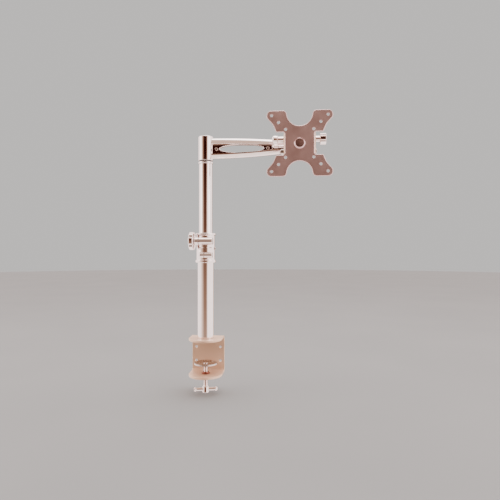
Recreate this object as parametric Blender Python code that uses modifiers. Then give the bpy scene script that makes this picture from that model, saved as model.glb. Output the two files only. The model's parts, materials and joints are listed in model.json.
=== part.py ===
"""Desk-clamp monitor arm: clamp, telescoping pole, swing arm, swivelling and tilting plate.

Units are metres. The origin is on the pole's axis, in the plane of the desk top that the
clamp's upper flange rests on. +X runs along the arm, -Y faces the user and +Z is up.
"""
import math

import bmesh
import bpy
from mathutils import Euler, Matrix, Vector

GAP = 0.0003  # clearance between pieces that rest on each other

# Clamp bracket: a bent steel strap that is open towards the desk.
CLAMP_HALF_WIDTH = 0.032
CLAMP_BACK = 0.032
CLAMP_FRONT = -0.033
CLAMP_THICKNESS = 0.004
CLAMP_DROP = 0.068
CLAMP_BEND = 0.003
WALL_HOLE_X = 0.024
WALL_HOLE_Z = (-0.019, -0.046)
WALL_HOLE_RADIUS = 0.0025

# Clamp screw, its nut, pressure disc and sliding bar.
SCREW_RADIUS = 0.004
SCREW_HEAD_RADIUS = 0.006
SCREW_HEAD_TOP = -0.088
SCREW_HEAD_BOTTOM = -0.100
CLAMP_NUT_RADIUS = 0.008
CLAMP_NUT_HEIGHT = 0.0035
DISC_RADIUS = 0.022
DISC_TOP = -0.0433
DISC_DEPTH = 0.003
DISC_SHEET = 0.0014
BAR_Z = -0.094
BAR_RADIUS = 0.003
BAR_HALF_LENGTH = 0.0224
BAR_CAP_RADIUS = 0.004
BAR_CAP_LENGTH = 0.0045
BAR_TURN = math.radians(14)

# Pole: the upper tube telescopes into the lower tube.
LOWER_TUBE_RADIUS = 0.015
UPPER_TUBE_RADIUS = 0.0127
TUBE_WALL = 0.0015
LOWER_TUBE_TOP = 0.176
UPPER_TUBE_BOTTOM = 0.090
UPPER_TUBE_TOP = 0.3367
PLUG_HEIGHT = 0.006
BASE_SCREW_RADIUS = 0.0020
BASE_SCREW_CIRCLE = 0.0085

# Height collar on the pole, with its knob barrel and its pinch-bolt barrel.
COLLAR_BOTTOM = 0.148
COLLAR_TOP = 0.204
COLLAR_RADIUS = 0.0173
COLLAR_RIM_RADIUS = 0.0193
COLLAR_TOP_RIM = 0.0035
COLLAR_BOTTOM_RIM = 0.005
COLLAR_STEP = 0.1765
BARREL_Y = -0.019
KNOB_BARREL_Z = 0.1888
KNOB_BARREL_RADIUS = 0.0069
KNOB_BARREL_X = (-0.0175, 0.017)
PINCH_BARREL_Z = 0.1626
PINCH_BARREL_RADIUS = 0.0055
PINCH_BARREL_X = (-0.0075, 0.0164)
COLLAR_SLIT = 0.0012
KNOB_SLIT_X = -0.0097
PINCH_SLIT_X = 0.0009
KNOB_RADIUS = 0.0172
KNOB_OUTER_X = -0.0292
KNOB_INNER_X = -0.0180
KNOB_DOME = 0.0025
KNOB_LOBES = 6

# Spigot that the arm turns on, and the arm itself.
RING_RADIUS = 0.0138
RING_BOTTOM = 0.337
RING_TOP = 0.3407
SPIGOT_RADIUS = 0.009
SPIGOT_TOP = 0.3756
HUB_RADIUS = 0.0138
HUB_BOTTOM = 0.343
HUB_TOP = 0.389
HUB_LIP = (0.372, 0.375)
ARM_LENGTH = 0.1785
BEAM_END = 0.1645  # where the beam stops and the eye's neck starts
BEAM_HALF_THICKNESS = 0.009
BEAM_TOP = 0.3855
BEAM_FALL = 0.289  # how fast the top edge falls, per metre squared
BEAM_BOTTOM = 0.3466
BEAM_RISE = 0.0092  # how far the bottom edge has risen at the beam's end
BEAM_CROWN = (2.4, 2.0)  # exponent of the oval section at both ends: 2 is an ellipse
WIDEST_DROP = 0.006  # how far the widest level sinks below the middle at the beam's end
NECK_HALF_THICKNESS = 0.008
TOP_RAIL = (0.0122, 0.0101)  # height of the rail at the pole and at the head
BOTTOM_RAIL = 0.0090
RECESS_X = (0.0165, 0.1275)
WEB_HALF_THICKNESS = 0.003
EYE_RADIUS = 0.012
EYE_Z = (0.3550, 0.3770)
WINDOW_CENTRE = (0.0695, 0.3649)
WINDOW_SEMI_AXES = (0.0420, 0.0073)
WEB_SCREW_X = (0.0215, 0.1195)
WEB_SCREW_Z = 0.3645

# Head: the block that swivels on the arm's eye and carries the tilt barrel.
TILT_Y = -0.026
TILT_Z = 0.374
BARREL_RADIUS = 0.007
BLOCK_HALF_WIDTH = 0.0245
CHEEK_INNER = 0.017
BLOCK_WEB_Y = (-0.0174, -0.0132)
FORK_RADIUS = 0.013
UPPER_TONGUE_Z = (0.3788, 0.3850)
LOWER_TONGUE_Z = (0.3470, 0.3532)
SWIVEL_BOLT_RADIUS = 0.005
TILT_BOLT_RADIUS = 0.004
SPACER_RADIUS = 0.0056
SPACER_OUTER = 0.0370
CAP_NUT_RADIUS = 0.0073
CAP_NUT_OUTER = 0.0500
TILT_KNOB_RADIUS = 0.0103
TILT_KNOB_OUTER = 0.0490

# Tilt bracket and mounting plate.
EAR_OUTER = 0.0285
BRACKET_SHEET = 0.0025
BRACKET_FRONT = -0.0455
BRACKET_Z = (0.3446, 0.3822)
EAR_NOSE_RADIUS = 0.0082
STOP_BOLT_Z = 0.3514
STOP_BOLT_RADIUS = 0.003
STOP_NOSE_RADIUS = 0.0065
PLATE_Z = 0.362
PLATE_THICKNESS = 0.0025
PLATE_FRONT = -0.0483
PLATE_HALF_SIZE = 0.059
WAIST_HALF_WIDTH = 0.0265
WAIST_HALF_HEIGHT = 0.0204
NOTCH_RADIUS = 0.0228
NOTCH_Z = 0.0542  # height of a notch's centre above the plate's
NOTCH_FILLET = 0.0075
VESA_HALF_SPACINGS = (0.025, 0.0375, 0.050)
VESA_HOLE_RADIUS = 0.0025
PIVOT_RADIUS = 0.005
PIVOT_HEAD_RADIUS = 0.011

FINE = 32
MEDIUM = 20
SMALL = 14

TURNS = {
    "Z": Euler((0, 0, 0)),
    "-Z": Euler((math.pi, 0, 0)),
    "X": Euler((0, math.pi / 2, 0)),
    "-X": Euler((0, -math.pi / 2, 0)),
    "Y": Euler((-math.pi / 2, 0, 0)),
    "-Y": Euler((math.pi / 2, 0, 0)),
}

for old in list(bpy.data.objects):
    bpy.data.objects.remove(old, do_unlink=True)

parts = bpy.data.collections.new("monitor_arm")
cutters = bpy.data.collections.new("cutters")
for collection in (parts, cutters):
    bpy.context.scene.collection.children.link(collection)


def make_material(name, colour, metallic, roughness):
    """Return a Principled material."""
    material = bpy.data.materials.new(name)
    material.use_nodes = True
    shader = material.node_tree.nodes["Principled BSDF"]
    shader.inputs["Base Color"].default_value = (*colour, 1)
    shader.inputs["Metallic"].default_value = metallic
    shader.inputs["Roughness"].default_value = roughness
    return material


def finish_for(name, finish):
    """Return a material of one sub-part's own, in one of the object's finishes."""
    looks = {
        "chrome": ((0.78, 0.74, 0.73), 1.0, 0.10),
        "satin_steel": ((0.55, 0.42, 0.38), 0.9, 0.35),
        "painted_steel": ((0.62, 0.52, 0.46), 0.6, 0.40),
        "zinc": ((0.60, 0.58, 0.56), 1.0, 0.30),
        "brass": ((0.45, 0.20, 0.14), 1.0, 0.35),
        "nylon": ((0.03, 0.03, 0.03), 0.0, 0.55),
    }
    return make_material(name, *looks[finish])


def make_body(name, at, parent=None):
    """Add an empty on a joint's axis, for the pieces that move together."""
    empty = bpy.data.objects.new("body_" + name, None)
    empty.empty_display_size = 0.01
    parts.objects.link(empty)
    empty["world"] = at
    if parent:
        empty.parent = parent
        empty.location = Vector(at) - Vector(parent["world"])
    else:
        empty.location = at
    return empty


def add_piece(name, mesh, body, at, turn, finish):
    """Link a mesh as a named piece of a body, at a place in world coordinates."""
    piece = bpy.data.objects.new(name, mesh)
    parts.objects.link(piece)
    piece.parent = body
    piece.location = Vector(at) - Vector(body["world"])
    piece.rotation_euler = turn
    mesh.materials.append(finish_for(name, finish))
    return piece


def add_cutter(name, mesh, at, turn):
    """Link a mesh as a hidden cutter."""
    cutter = bpy.data.objects.new(name, mesh)
    cutters.objects.link(cutter)
    cutter.location = at
    cutter.rotation_euler = turn
    cutter.hide_render = True
    cutter.display_type = "WIRE"
    return cutter


def combine(piece, tool, operation="DIFFERENCE"):
    """Cut a piece by a tool, join them, or keep what they share."""
    boolean = piece.modifiers.new(operation.lower(), "BOOLEAN")
    boolean.operation = operation
    boolean.object = tool


def profile_mesh(name, profile, closed):
    """Return a mesh of the edges of a turned shape's profile, at +X."""
    edges = [(i, i + 1) for i in range(len(profile) - 1)]
    if closed:
        edges.append((len(profile) - 1, 0))
    mesh = bpy.data.meshes.new(name)
    mesh.from_pydata([(radius, 0, height) for radius, height in profile], edges, [])
    return mesh


def add_turning(piece, steps):
    """Turn a profile about the piece's own Z axis."""
    screw = piece.modifiers.new("turn", "SCREW")
    screw.steps = steps
    screw.render_steps = steps
    screw.use_merge_vertices = True
    screw.merge_threshold = 0.000001


def turned(name, body, profile, at, finish, axis="Z", steps=FINE, closed=False):
    """Add a turned piece. The profile is (radius, height), down the outer side."""
    piece = add_piece(name, profile_mesh(name, profile, closed), body, at, TURNS[axis], finish)
    add_turning(piece, steps)
    return piece


def ring_profile(outer, inner, bottom, top):
    """Return the closed profile of a plain ring or tube."""
    return [(outer, top), (outer, bottom), (inner, bottom), (inner, top)]


def cylinder_mesh(name, radius, length, steps=SMALL):
    """Return a capped cylinder about Z, standing on its origin."""
    mesh = bpy.data.meshes.new(name)
    shape = bmesh.new()
    bmesh.ops.create_cone(shape, cap_ends=True, segments=steps, radius1=radius, radius2=radius,
                          depth=length, matrix=Matrix.Translation((0, 0, length / 2)))
    shape.to_mesh(mesh)
    shape.free()
    return mesh


def cylinder_tool(name, radius, length, at, axis="Z", steps=SMALL):
    """Add a cylindrical cutter that runs from a point along an axis."""
    return add_cutter(name, cylinder_mesh(name, radius, length, steps), at, TURNS[axis])


def box_tool(name, low, high):
    """Add a box-shaped cutter between two corners."""
    mesh = bpy.data.meshes.new(name)
    shape = bmesh.new()
    size = [b - a for a, b in zip(low, high)]
    bmesh.ops.create_cube(shape, size=1, matrix=Matrix.Diagonal((*size, 1)))
    shape.to_mesh(mesh)
    shape.free()
    return add_cutter(name, mesh, [(a + b) / 2 for a, b in zip(low, high)], TURNS["Z"])


def arc(centre, radius, start, end, count):
    """Return points on an arc, from one angle in degrees to another."""
    angles = [math.radians(start + (end - start) * i / count) for i in range(count + 1)]
    return [(centre[0] + radius * math.cos(a), centre[1] + radius * math.sin(a)) for a in angles]


def rounded(corners, count=5):
    """Return an outline whose corners (x, y, radius) are rounded."""
    outline = []
    for i, (x, y, radius) in enumerate(corners):
        corner = Vector((x, y))
        if radius == 0:
            outline.append((x, y))
            continue
        before = (Vector(corners[i - 1][:2]) - corner).normalized()
        after = (Vector(corners[(i + 1) % len(corners)][:2]) - corner).normalized()
        half_angle = before.angle(after) / 2
        centre = corner + (before + after).normalized() * radius / math.sin(half_angle)
        first = corner + before * radius / math.tan(half_angle) - centre
        last = corner + after * radius / math.tan(half_angle) - centre
        sweep = first.angle_signed(last)
        for step in range(count + 1):
            # angle_signed is clockwise, and so is the sweep of this rotation.
            turned_to = -sweep * step / count
            x_now = first.x * math.cos(turned_to) - first.y * math.sin(turned_to)
            y_now = first.x * math.sin(turned_to) + first.y * math.cos(turned_to)
            outline.append((centre.x + x_now, centre.y + y_now))
    return outline


def circle(centre, radius, steps=SMALL):
    """Return a closed circle's points."""
    return arc(centre, radius, 0, 360 - 360 / steps, steps - 1)


def slab_mesh(name, loops, thickness):
    """Return a flat plate's mesh: the first loop is its outline and the others are holes."""
    curve = bpy.data.curves.new(name, "CURVE")
    curve.dimensions = "2D"
    curve.fill_mode = "BOTH"
    curve.extrude = thickness / 2
    for loop in loops:
        spline = curve.splines.new("POLY")
        spline.points.add(len(loop) - 1)
        for point, (x, y) in zip(spline.points, loop):
            point.co = (x, y, 0, 1)
        spline.use_cyclic_u = True
    source = bpy.data.objects.new(name + "_outline", curve)
    bpy.context.scene.collection.objects.link(source)
    evaluated = source.evaluated_get(bpy.context.evaluated_depsgraph_get())
    mesh = bpy.data.meshes.new_from_object(evaluated)
    bpy.data.objects.remove(source, do_unlink=True)
    shape = bmesh.new()
    shape.from_mesh(mesh)
    bmesh.ops.remove_doubles(shape, verts=shape.verts, dist=0.000005)
    bmesh.ops.recalc_face_normals(shape, faces=shape.faces)
    shape.to_mesh(mesh)
    shape.free()
    mesh.name = name
    return mesh


def slab(name, body, loops, thickness, at, finish, axis="Z"):
    """Add a flat plate, centred on its thickness."""
    return add_piece(name, slab_mesh(name, loops, thickness), body, at, TURNS[axis], finish)


def slab_tool(name, loops, thickness, at, axis="Z"):
    """Add a flat cutter, centred on its thickness."""
    return add_cutter(name, slab_mesh(name, loops, thickness), at, TURNS[axis])


def lobed_outline(radius, depth, lobes, per_lobe=12):
    """Return a knob's outline: nearly flat-faced lobes between round flutes. A flute starts it."""
    half_pitch = math.pi / lobes
    half_face = half_pitch * 0.64
    points = []
    for i in range(lobes * per_lobe):
        angle = math.tau * i / (lobes * per_lobe)
        off_lobe = abs((angle % (2 * half_pitch)) - half_pitch)
        if off_lobe < half_face:
            flat = math.cos(half_face) / math.cos(off_lobe)
            reach = radius * (0.2 + 0.8 * flat)
        else:
            fall = (off_lobe - half_face) / (half_pitch - half_face)
            reach = radius - depth * math.sin(math.pi / 2 * fall) ** 2
        points.append((reach * math.cos(angle), reach * math.sin(angle)))
    return points


def hexagon(across_flats):
    """Return a nut's outline."""
    return circle((0, 0), across_flats / math.sqrt(3), 6)


def nut(name, body, across_flats, bore, height, at, axis, finish="zinc"):
    """Add a hexagonal nut, centred on its height."""
    return slab(name, body, [hexagon(across_flats), circle((0, 0), bore)], height, at, finish, axis)


def screw_with_socket(name, body, head, shank, at, axis, finish, socket=0.0025):
    """Add a screw with a hex-socket head. Its head's underside is at the given point."""
    head_radius, head_height = head
    shank_radius, shank_length = shank
    profile = [(0, head_height), (head_radius * 0.85, head_height),
               (head_radius, head_height * 0.75), (head_radius, 0), (shank_radius, 0),
               (shank_radius, -shank_length + 0.0005), (shank_radius - 0.0005, -shank_length),
               (0, -shank_length)]
    piece = turned(name, body, profile, at, finish, axis, SMALL)
    direction = TURNS[axis].to_matrix() @ Vector((0, 0, 1))
    place = Vector(at) + direction * head_height * 0.45
    tool = add_cutter(name + "_socket", slab_mesh(name + "_socket", [hexagon(socket)], head_height),
                      place + direction * head_height / 2, TURNS[axis])
    combine(piece, tool)
    return piece


head_x = ARM_LENGTH

stand = make_body("stand", (0, 0, 0))
pad = make_body("pressure_pad", (0, 0, DISC_TOP), stand)
screw_body = make_body("clamp_screw", (0, 0, SCREW_HEAD_TOP), pad)
bar_body = make_body("tommy_bar", (0, 0, BAR_Z), screw_body)
height_knob_body = make_body("height_knob", (KNOB_INNER_X, BARREL_Y, KNOB_BARREL_Z), stand)
pole = make_body("upper_pole", (0, 0, UPPER_TUBE_BOTTOM), stand)
arm_body = make_body("arm", (0, 0, HUB_BOTTOM), pole)
head = make_body("head", (head_x, 0, EYE_Z[0]), arm_body)
tilt = make_body("tilt_bracket", (head_x, TILT_Y, TILT_Z), head)
tilt_knob_body = make_body("tilt_knob", (head_x + SPACER_OUTER, TILT_Y, TILT_Z), head)
plate_body = make_body("plate", (head_x, PLATE_FRONT, PLATE_Z), tilt)


def build_clamp_bracket():
    """The bent strap: upper flange, back wall and lower flange, all rounded at the front."""
    low, high = -CLAMP_DROP, CLAMP_THICKNESS
    inner = CLAMP_BACK - CLAMP_THICKNESS
    bend = CLAMP_BEND + CLAMP_THICKNESS
    # The strap's side view, as (y, z).
    side = rounded([
        (CLAMP_FRONT, high, 0), (CLAMP_FRONT, 0, 0), (inner, 0, CLAMP_BEND),
        (inner, low + CLAMP_THICKNESS, CLAMP_BEND), (CLAMP_FRONT, low + CLAMP_THICKNESS, 0),
        (CLAMP_FRONT, low, 0), (CLAMP_BACK, low, bend), (CLAMP_BACK, high, bend),
    ])
    # Turned to face X, a slab's own x runs down and its own y runs along +Y.
    bracket = slab("clamp_bracket", stand, [[(-z, y) for y, z in side]], 2 * CLAMP_HALF_WIDTH,
                   (0, 0, 0), "painted_steel", "X")
    depth = -CLAMP_FRONT
    front = [(CLAMP_HALF_WIDTH * math.cos(a), -depth * math.sin(a))
             for a in (math.radians(180 * i / 24) for i in range(25))]
    plan = [(-CLAMP_HALF_WIDTH, CLAMP_BACK + 0.001), *reversed(front),
            (CLAMP_HALF_WIDTH, CLAMP_BACK + 0.001)]
    combine(bracket, slab_tool("flange_plan", [plan], 0.2, (0, 0, -0.03)), "INTERSECT")
    for x in (-WALL_HOLE_X, WALL_HOLE_X):
        for z in WALL_HOLE_Z:
            combine(bracket, cylinder_tool("wall_hole", WALL_HOLE_RADIUS, 0.02, (x, 0.022, z), "Y"))
    combine(bracket, cylinder_tool("screw_hole", SCREW_RADIUS + 0.0006, 0.02, (0, 0, -0.075)))
    for x, y in base_screw_places():
        sink = turned_tool("screw_sink", [(BASE_SCREW_RADIUS + GAP, 0.01),
                                          (BASE_SCREW_RADIUS + GAP, 0.0021),
                                          (BASE_SCREW_RADIUS * 2 + GAP, 0.0),
                                          (BASE_SCREW_RADIUS * 2 + GAP, -0.01)], (x, y, 0))
        combine(bracket, sink)


def turned_tool(name, profile, at, axis="Z", steps=SMALL):
    """Add a turned cutter, closed on its axis at both ends."""
    closed_profile = [(0, profile[0][1]), *profile, (0, profile[-1][1])]
    tool = add_cutter(name, profile_mesh(name, closed_profile, False), at, TURNS[axis])
    add_turning(tool, steps)
    return tool


def base_screw_places():
    """Return where the three screws that hold the pole's plug are."""
    angles = [math.radians(90 + 120 * i) for i in range(3)]
    return [(BASE_SCREW_CIRCLE * math.cos(a), BASE_SCREW_CIRCLE * math.sin(a)) for a in angles]


def build_base():
    """The lower tube, its plug and the three countersunk screws under the upper flange."""
    bottom = CLAMP_THICKNESS + GAP
    turned("lower_tube", stand,
           ring_profile(LOWER_TUBE_RADIUS, LOWER_TUBE_RADIUS - TUBE_WALL, bottom, LOWER_TUBE_TOP),
           (0, 0, 0), "chrome", closed=True)
    plug_radius = LOWER_TUBE_RADIUS - TUBE_WALL - GAP
    plug = turned("base_plug", stand,
                  [(0, bottom + PLUG_HEIGHT), (plug_radius - 0.001, bottom + PLUG_HEIGHT),
                   (plug_radius, bottom + PLUG_HEIGHT - 0.001), (plug_radius, bottom), (0, bottom)],
                  (0, 0, 0), "zinc")
    for number, (x, y) in enumerate(base_screw_places(), 1):
        hole = BASE_SCREW_RADIUS + GAP
        combine(plug, cylinder_tool("plug_hole", hole, 0.03, (x, y, -0.005)))
        radius = BASE_SCREW_RADIUS
        screw = turned(f"base_screw_{number}", stand,
                       [(0, 0.0095), (radius - 0.0004, 0.0095), (radius, 0.0091), (radius, 0.0022),
                        (radius * 2 - 0.0001, 0.0002), (0, 0.0002)],
                       (x, y, 0), "zinc", steps=SMALL)
        combine(screw, add_cutter("drive", slab_mesh("drive", [hexagon(0.0022)], 0.0024),
                                  (x, y, 0), TURNS["Z"]))


def build_clamp_screw():
    """The nut on the lower flange, the screw with its peened tip, the disc and the bar."""
    flange_top = -CLAMP_DROP + CLAMP_THICKNESS
    nut_bottom = flange_top + GAP
    turned("clamp_nut", stand,
           ring_profile(CLAMP_NUT_RADIUS, SCREW_RADIUS + GAP, nut_bottom,
                        nut_bottom + CLAMP_NUT_HEIGHT), (0, 0, 0), "brass", steps=MEDIUM, closed=True)

    floor = DISC_TOP - DISC_DEPTH
    neck = 0.0025
    tip_top = floor + DISC_SHEET + 0.0014
    screw = turned("clamp_screw", screw_body,
                   [(0, tip_top), (0.0034, tip_top), (0.0040, tip_top - 0.0004),
                    (0.0040, floor + DISC_SHEET + GAP), (neck, floor + DISC_SHEET + GAP),
                    (neck, floor - 0.0006), (SCREW_RADIUS, floor - 0.0015),
                    (SCREW_RADIUS, SCREW_HEAD_TOP + 0.001), (SCREW_RADIUS + 0.0008, SCREW_HEAD_TOP),
                    (SCREW_HEAD_RADIUS, SCREW_HEAD_TOP - 0.0015),
                    (SCREW_HEAD_RADIUS, SCREW_HEAD_BOTTOM + 0.001),
                    (SCREW_HEAD_RADIUS - 0.001, SCREW_HEAD_BOTTOM), (0, SCREW_HEAD_BOTTOM)],
                   (0, 0, 0), "chrome", steps=MEDIUM)
    along = Vector((math.cos(BAR_TURN), math.sin(BAR_TURN), 0))
    hole = cylinder_tool("bar_hole", BAR_RADIUS + GAP, 0.03, -0.015 * along + Vector((0, 0, BAR_Z)), "X")
    hole.rotation_euler = Euler((0, math.pi / 2, BAR_TURN))
    combine(screw, hole)

    turned("pressure_disc", pad,
           [(DISC_RADIUS - 0.0008, DISC_TOP), (DISC_RADIUS, DISC_TOP - 0.0008),
            (DISC_RADIUS - 0.0010, floor + 0.0006), (DISC_RADIUS - 0.0025, floor), (0.0031, floor),
            (0.0031, floor + DISC_SHEET), (DISC_RADIUS - 0.0035, floor + DISC_SHEET),
            (DISC_RADIUS - 0.0022, DISC_TOP)],
           (0, 0, 0), "chrome", closed=True)

    rod_half = BAR_HALF_LENGTH - BAR_CAP_LENGTH - GAP
    turned("tommy_bar", bar_body, [(0, rod_half), (BAR_RADIUS, rod_half), (BAR_RADIUS, -rod_half),
                                   (0, -rod_half)],
           (0, 0, BAR_Z), "chrome", "X", SMALL).rotation_euler = Euler((0, math.pi / 2, BAR_TURN))
    for side, name in ((-1, "bar_cap_left"), (1, "bar_cap_right")):
        cap = turned(name, bar_body,
                     [(0, BAR_CAP_LENGTH), (BAR_CAP_RADIUS * 0.7, BAR_CAP_LENGTH - 0.0003),
                      (BAR_CAP_RADIUS, BAR_CAP_LENGTH * 0.6), (BAR_CAP_RADIUS, 0.0008),
                      (BAR_CAP_RADIUS - 0.0008, 0), (0, 0)],
                     side * along * (rod_half + GAP) + Vector((0, 0, BAR_Z)), "chrome", "X", SMALL)
        cap.rotation_euler = Euler((0, side * math.pi / 2, BAR_TURN))


def build_collar():
    """The split collar: its upper half grips the upper tube and its lower half the lower tube."""
    upper_bore = UPPER_TUBE_RADIUS + GAP
    lower_bore = LOWER_TUBE_RADIUS + GAP
    collar = turned("collar", stand,
                    [(0, COLLAR_TOP), (COLLAR_RIM_RADIUS - 0.0008, COLLAR_TOP),
                     (COLLAR_RIM_RADIUS, COLLAR_TOP - 0.0008),
                     (COLLAR_RIM_RADIUS, COLLAR_TOP - COLLAR_TOP_RIM + 0.0008),
                     (COLLAR_RADIUS, COLLAR_TOP - COLLAR_TOP_RIM - 0.0010),
                     (COLLAR_RADIUS, COLLAR_BOTTOM + COLLAR_BOTTOM_RIM + 0.0010),
                     (COLLAR_RIM_RADIUS, COLLAR_BOTTOM + COLLAR_BOTTOM_RIM - 0.0008),
                     (COLLAR_RIM_RADIUS, COLLAR_BOTTOM + 0.0008),
                     (COLLAR_RIM_RADIUS - 0.0008, COLLAR_BOTTOM), (0, COLLAR_BOTTOM)],
                    (0, 0, 0), "chrome")
    barrels = (("knob_barrel", KNOB_BARREL_RADIUS, KNOB_BARREL_X, KNOB_BARREL_Z),
               ("pinch_barrel", PINCH_BARREL_RADIUS, PINCH_BARREL_X, PINCH_BARREL_Z))
    for name, radius, (left, right), z in barrels:
        barrel = cylinder_tool(name, radius, right - left, (left, BARREL_Y, z), "X", MEDIUM)
        combine(collar, barrel, "UNION")
    bore = turned_tool("collar_bore", [(upper_bore, COLLAR_TOP + 0.01), (upper_bore, COLLAR_STEP),
                                       (lower_bore, COLLAR_STEP), (lower_bore, COLLAR_BOTTOM - 0.01)],
                       (0, 0, 0), steps=FINE)
    combine(collar, bore)
    combine(collar, cylinder_tool("knob_stud_hole", 0.0034, 0.06, (-0.03, BARREL_Y, KNOB_BARREL_Z), "X"))
    combine(collar, cylinder_tool("pinch_hole", 0.0023, 0.06, (-0.03, BARREL_Y, PINCH_BARREL_Z), "X"))
    sink_x = PINCH_BARREL_X[1] - 0.0050
    combine(collar, cylinder_tool("pinch_sink", 0.0039, 0.02, (sink_x, BARREL_Y, PINCH_BARREL_Z), "X"))
    recess_x = KNOB_BARREL_X[1] - 0.0025
    combine(collar, slab_tool("nut_recess", [hexagon(0.0106)], 0.01,
                              (recess_x + 0.005, BARREL_Y, KNOB_BARREL_Z), "X"))
    combine(collar, slab_tool("pinch_nut_recess", [hexagon(0.0086)], 0.01,
                              (PINCH_BARREL_X[0] - 0.0025, BARREL_Y, PINCH_BARREL_Z), "X"))
    half = COLLAR_SLIT / 2
    combine(collar, box_tool("knob_slit", (KNOB_SLIT_X - half, -0.04, COLLAR_STEP),
                             (KNOB_SLIT_X + half, -0.008, COLLAR_TOP + 0.001)))
    combine(collar, box_tool("pinch_slit", (PINCH_SLIT_X - half, -0.04, COLLAR_BOTTOM - 0.001),
                             (PINCH_SLIT_X + half, -0.010, COLLAR_STEP)))
    combine(collar, box_tool("level_slit", (-0.0115, -0.03, COLLAR_STEP - half),
                             (0.0135, -0.004, COLLAR_STEP + half)))
    combine(collar, cylinder_tool("set_screw_hole", 0.0018, 0.02, (0.010, 0, COLLAR_STEP - 0.0015), "X"))

    pinch_x = sink_x + GAP
    screw_with_socket("collar_bolt", stand, (0.0035, 0.0040), (0.0020, 0.0172),
                      (pinch_x, BARREL_Y, PINCH_BARREL_Z), "X", "zinc", 0.0030)
    nut("collar_bolt_nut", stand, 0.0078, 0.0023, 0.0021,
        (PINCH_BARREL_X[0] + 0.0012, BARREL_Y, PINCH_BARREL_Z), "X")
    nut("knob_nut", stand, 0.0098, 0.0034, 0.0021,
        (recess_x + GAP + 0.00105, BARREL_Y, KNOB_BARREL_Z), "X")
    screw_with_socket("collar_set_screw", stand, (0.0029, 0.0014), (0.0015, 0.0017),
                      (COLLAR_RADIUS + 0.0003, 0, COLLAR_STEP - 0.0015), "X", "zinc", 0.0022)


def build_knob(name, body, radius, depth, lobes, height, dome, bore, at, axis):
    """A lobed knob with a domed outer face, bored for its stud from the inner side."""
    rim = height - dome
    centre = Vector(at) + TURNS[axis].to_matrix() @ Vector((0, 0, rim / 2))
    knob = slab(name, body, [lobed_outline(radius, depth, lobes)], rim, centre, "chrome", axis)
    bevel = knob.modifiers.new("edge", "BEVEL")
    bevel.width = 0.0009
    bevel.segments = 1
    bevel.limit_method = "ANGLE"
    bevel.angle_limit = math.radians(50)
    face = radius - depth - 0.0015
    cap = turned_tool(name + "_dome", [(face * 0.35, rim + dome), (face * 0.7, rim + dome * 0.75),
                                       (face * 0.92, rim + dome * 0.35), (face, rim - 0.0005)],
                      at, axis, MEDIUM)
    combine(knob, cap, "UNION")
    direction = TURNS[axis].to_matrix() @ Vector((0, 0, 1))
    combine(knob, cylinder_tool(name + "_bore", bore, rim * 0.75 + 0.01,
                                Vector(at) - direction * 0.01, axis))


def build_height_knob():
    """The knob that tightens the collar on the upper tube, and its threaded stud."""
    build_knob("height_knob", height_knob_body, KNOB_RADIUS, 0.0024, KNOB_LOBES,
               KNOB_INNER_X - KNOB_OUTER_X, KNOB_DOME, 0.0033,
               (KNOB_INNER_X, BARREL_Y, KNOB_BARREL_Z), "-X")
    reach = KNOB_BARREL_X[1] - KNOB_INNER_X - 0.0004
    turned("height_knob_stud", height_knob_body,
           [(0, 0.0058), (0.0030, 0.0058), (0.0030, -reach + 0.0006), (0.0024, -reach), (0, -reach)],
           (KNOB_INNER_X, BARREL_Y, KNOB_BARREL_Z), "zinc", "-X", SMALL)


def build_upper_pole():
    """The upper tube, its foot, the spigot in its top and what holds the arm on it."""
    bore = UPPER_TUBE_RADIUS - TUBE_WALL
    turned("upper_tube", pole,
           ring_profile(UPPER_TUBE_RADIUS, bore, UPPER_TUBE_BOTTOM, UPPER_TUBE_TOP),
           (0, 0, 0), "chrome", closed=True)
    plug = bore - GAP
    foot = LOWER_TUBE_RADIUS - TUBE_WALL - GAP
    base = UPPER_TUBE_BOTTOM - GAP
    turned("upper_tube_foot", pole,
           [(0, base + 0.010), (plug - 0.001, base + 0.010), (plug, base + 0.009), (plug, base),
            (foot, base), (foot, base - 0.003), (foot - 0.001, base - 0.004), (0, base - 0.004)],
           (0, 0, 0), "nylon")
    spigot = turned("pole_spigot", pole,
                    [(0, SPIGOT_TOP), (SPIGOT_RADIUS - 0.0008, SPIGOT_TOP),
                     (SPIGOT_RADIUS, SPIGOT_TOP - 0.0008), (SPIGOT_RADIUS, RING_TOP),
                     (RING_RADIUS - 0.0006, RING_TOP), (RING_RADIUS, RING_TOP - 0.0006),
                     (RING_RADIUS, RING_BOTTOM + 0.0006), (RING_RADIUS - 0.0006, RING_BOTTOM),
                     (plug, RING_BOTTOM), (plug, RING_BOTTOM - 0.030), (plug - 0.001, RING_BOTTOM - 0.031),
                     (0, RING_BOTTOM - 0.031)],
                    (0, 0, 0), "chrome")
    combine(spigot, cylinder_tool("spigot_thread", 0.0033, 0.03, (0, 0, SPIGOT_TOP - 0.014)))
    washer_bottom = SPIGOT_TOP + GAP
    washer_top = washer_bottom + 0.0015
    turned("retaining_washer", pole, ring_profile(0.0115, 0.0034, washer_bottom, washer_top),
           (0, 0, 0), "zinc", steps=MEDIUM, closed=True)
    screw_with_socket("retaining_screw", pole, (0.0058, 0.0042), (0.0030, 0.0145),
                      (0, 0, washer_top + GAP), "Z", "zinc", 0.0050)


def beam_top(x):
    """Return the height of the arm's top edge at a distance from the pole."""
    return BEAM_TOP - BEAM_FALL * x ** 2


def beam_bottom(x):
    """Return the height of the arm's bottom edge at a distance from the pole."""
    return BEAM_BOTTOM + BEAM_RISE * (x / BEAM_END) ** 2.3


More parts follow.
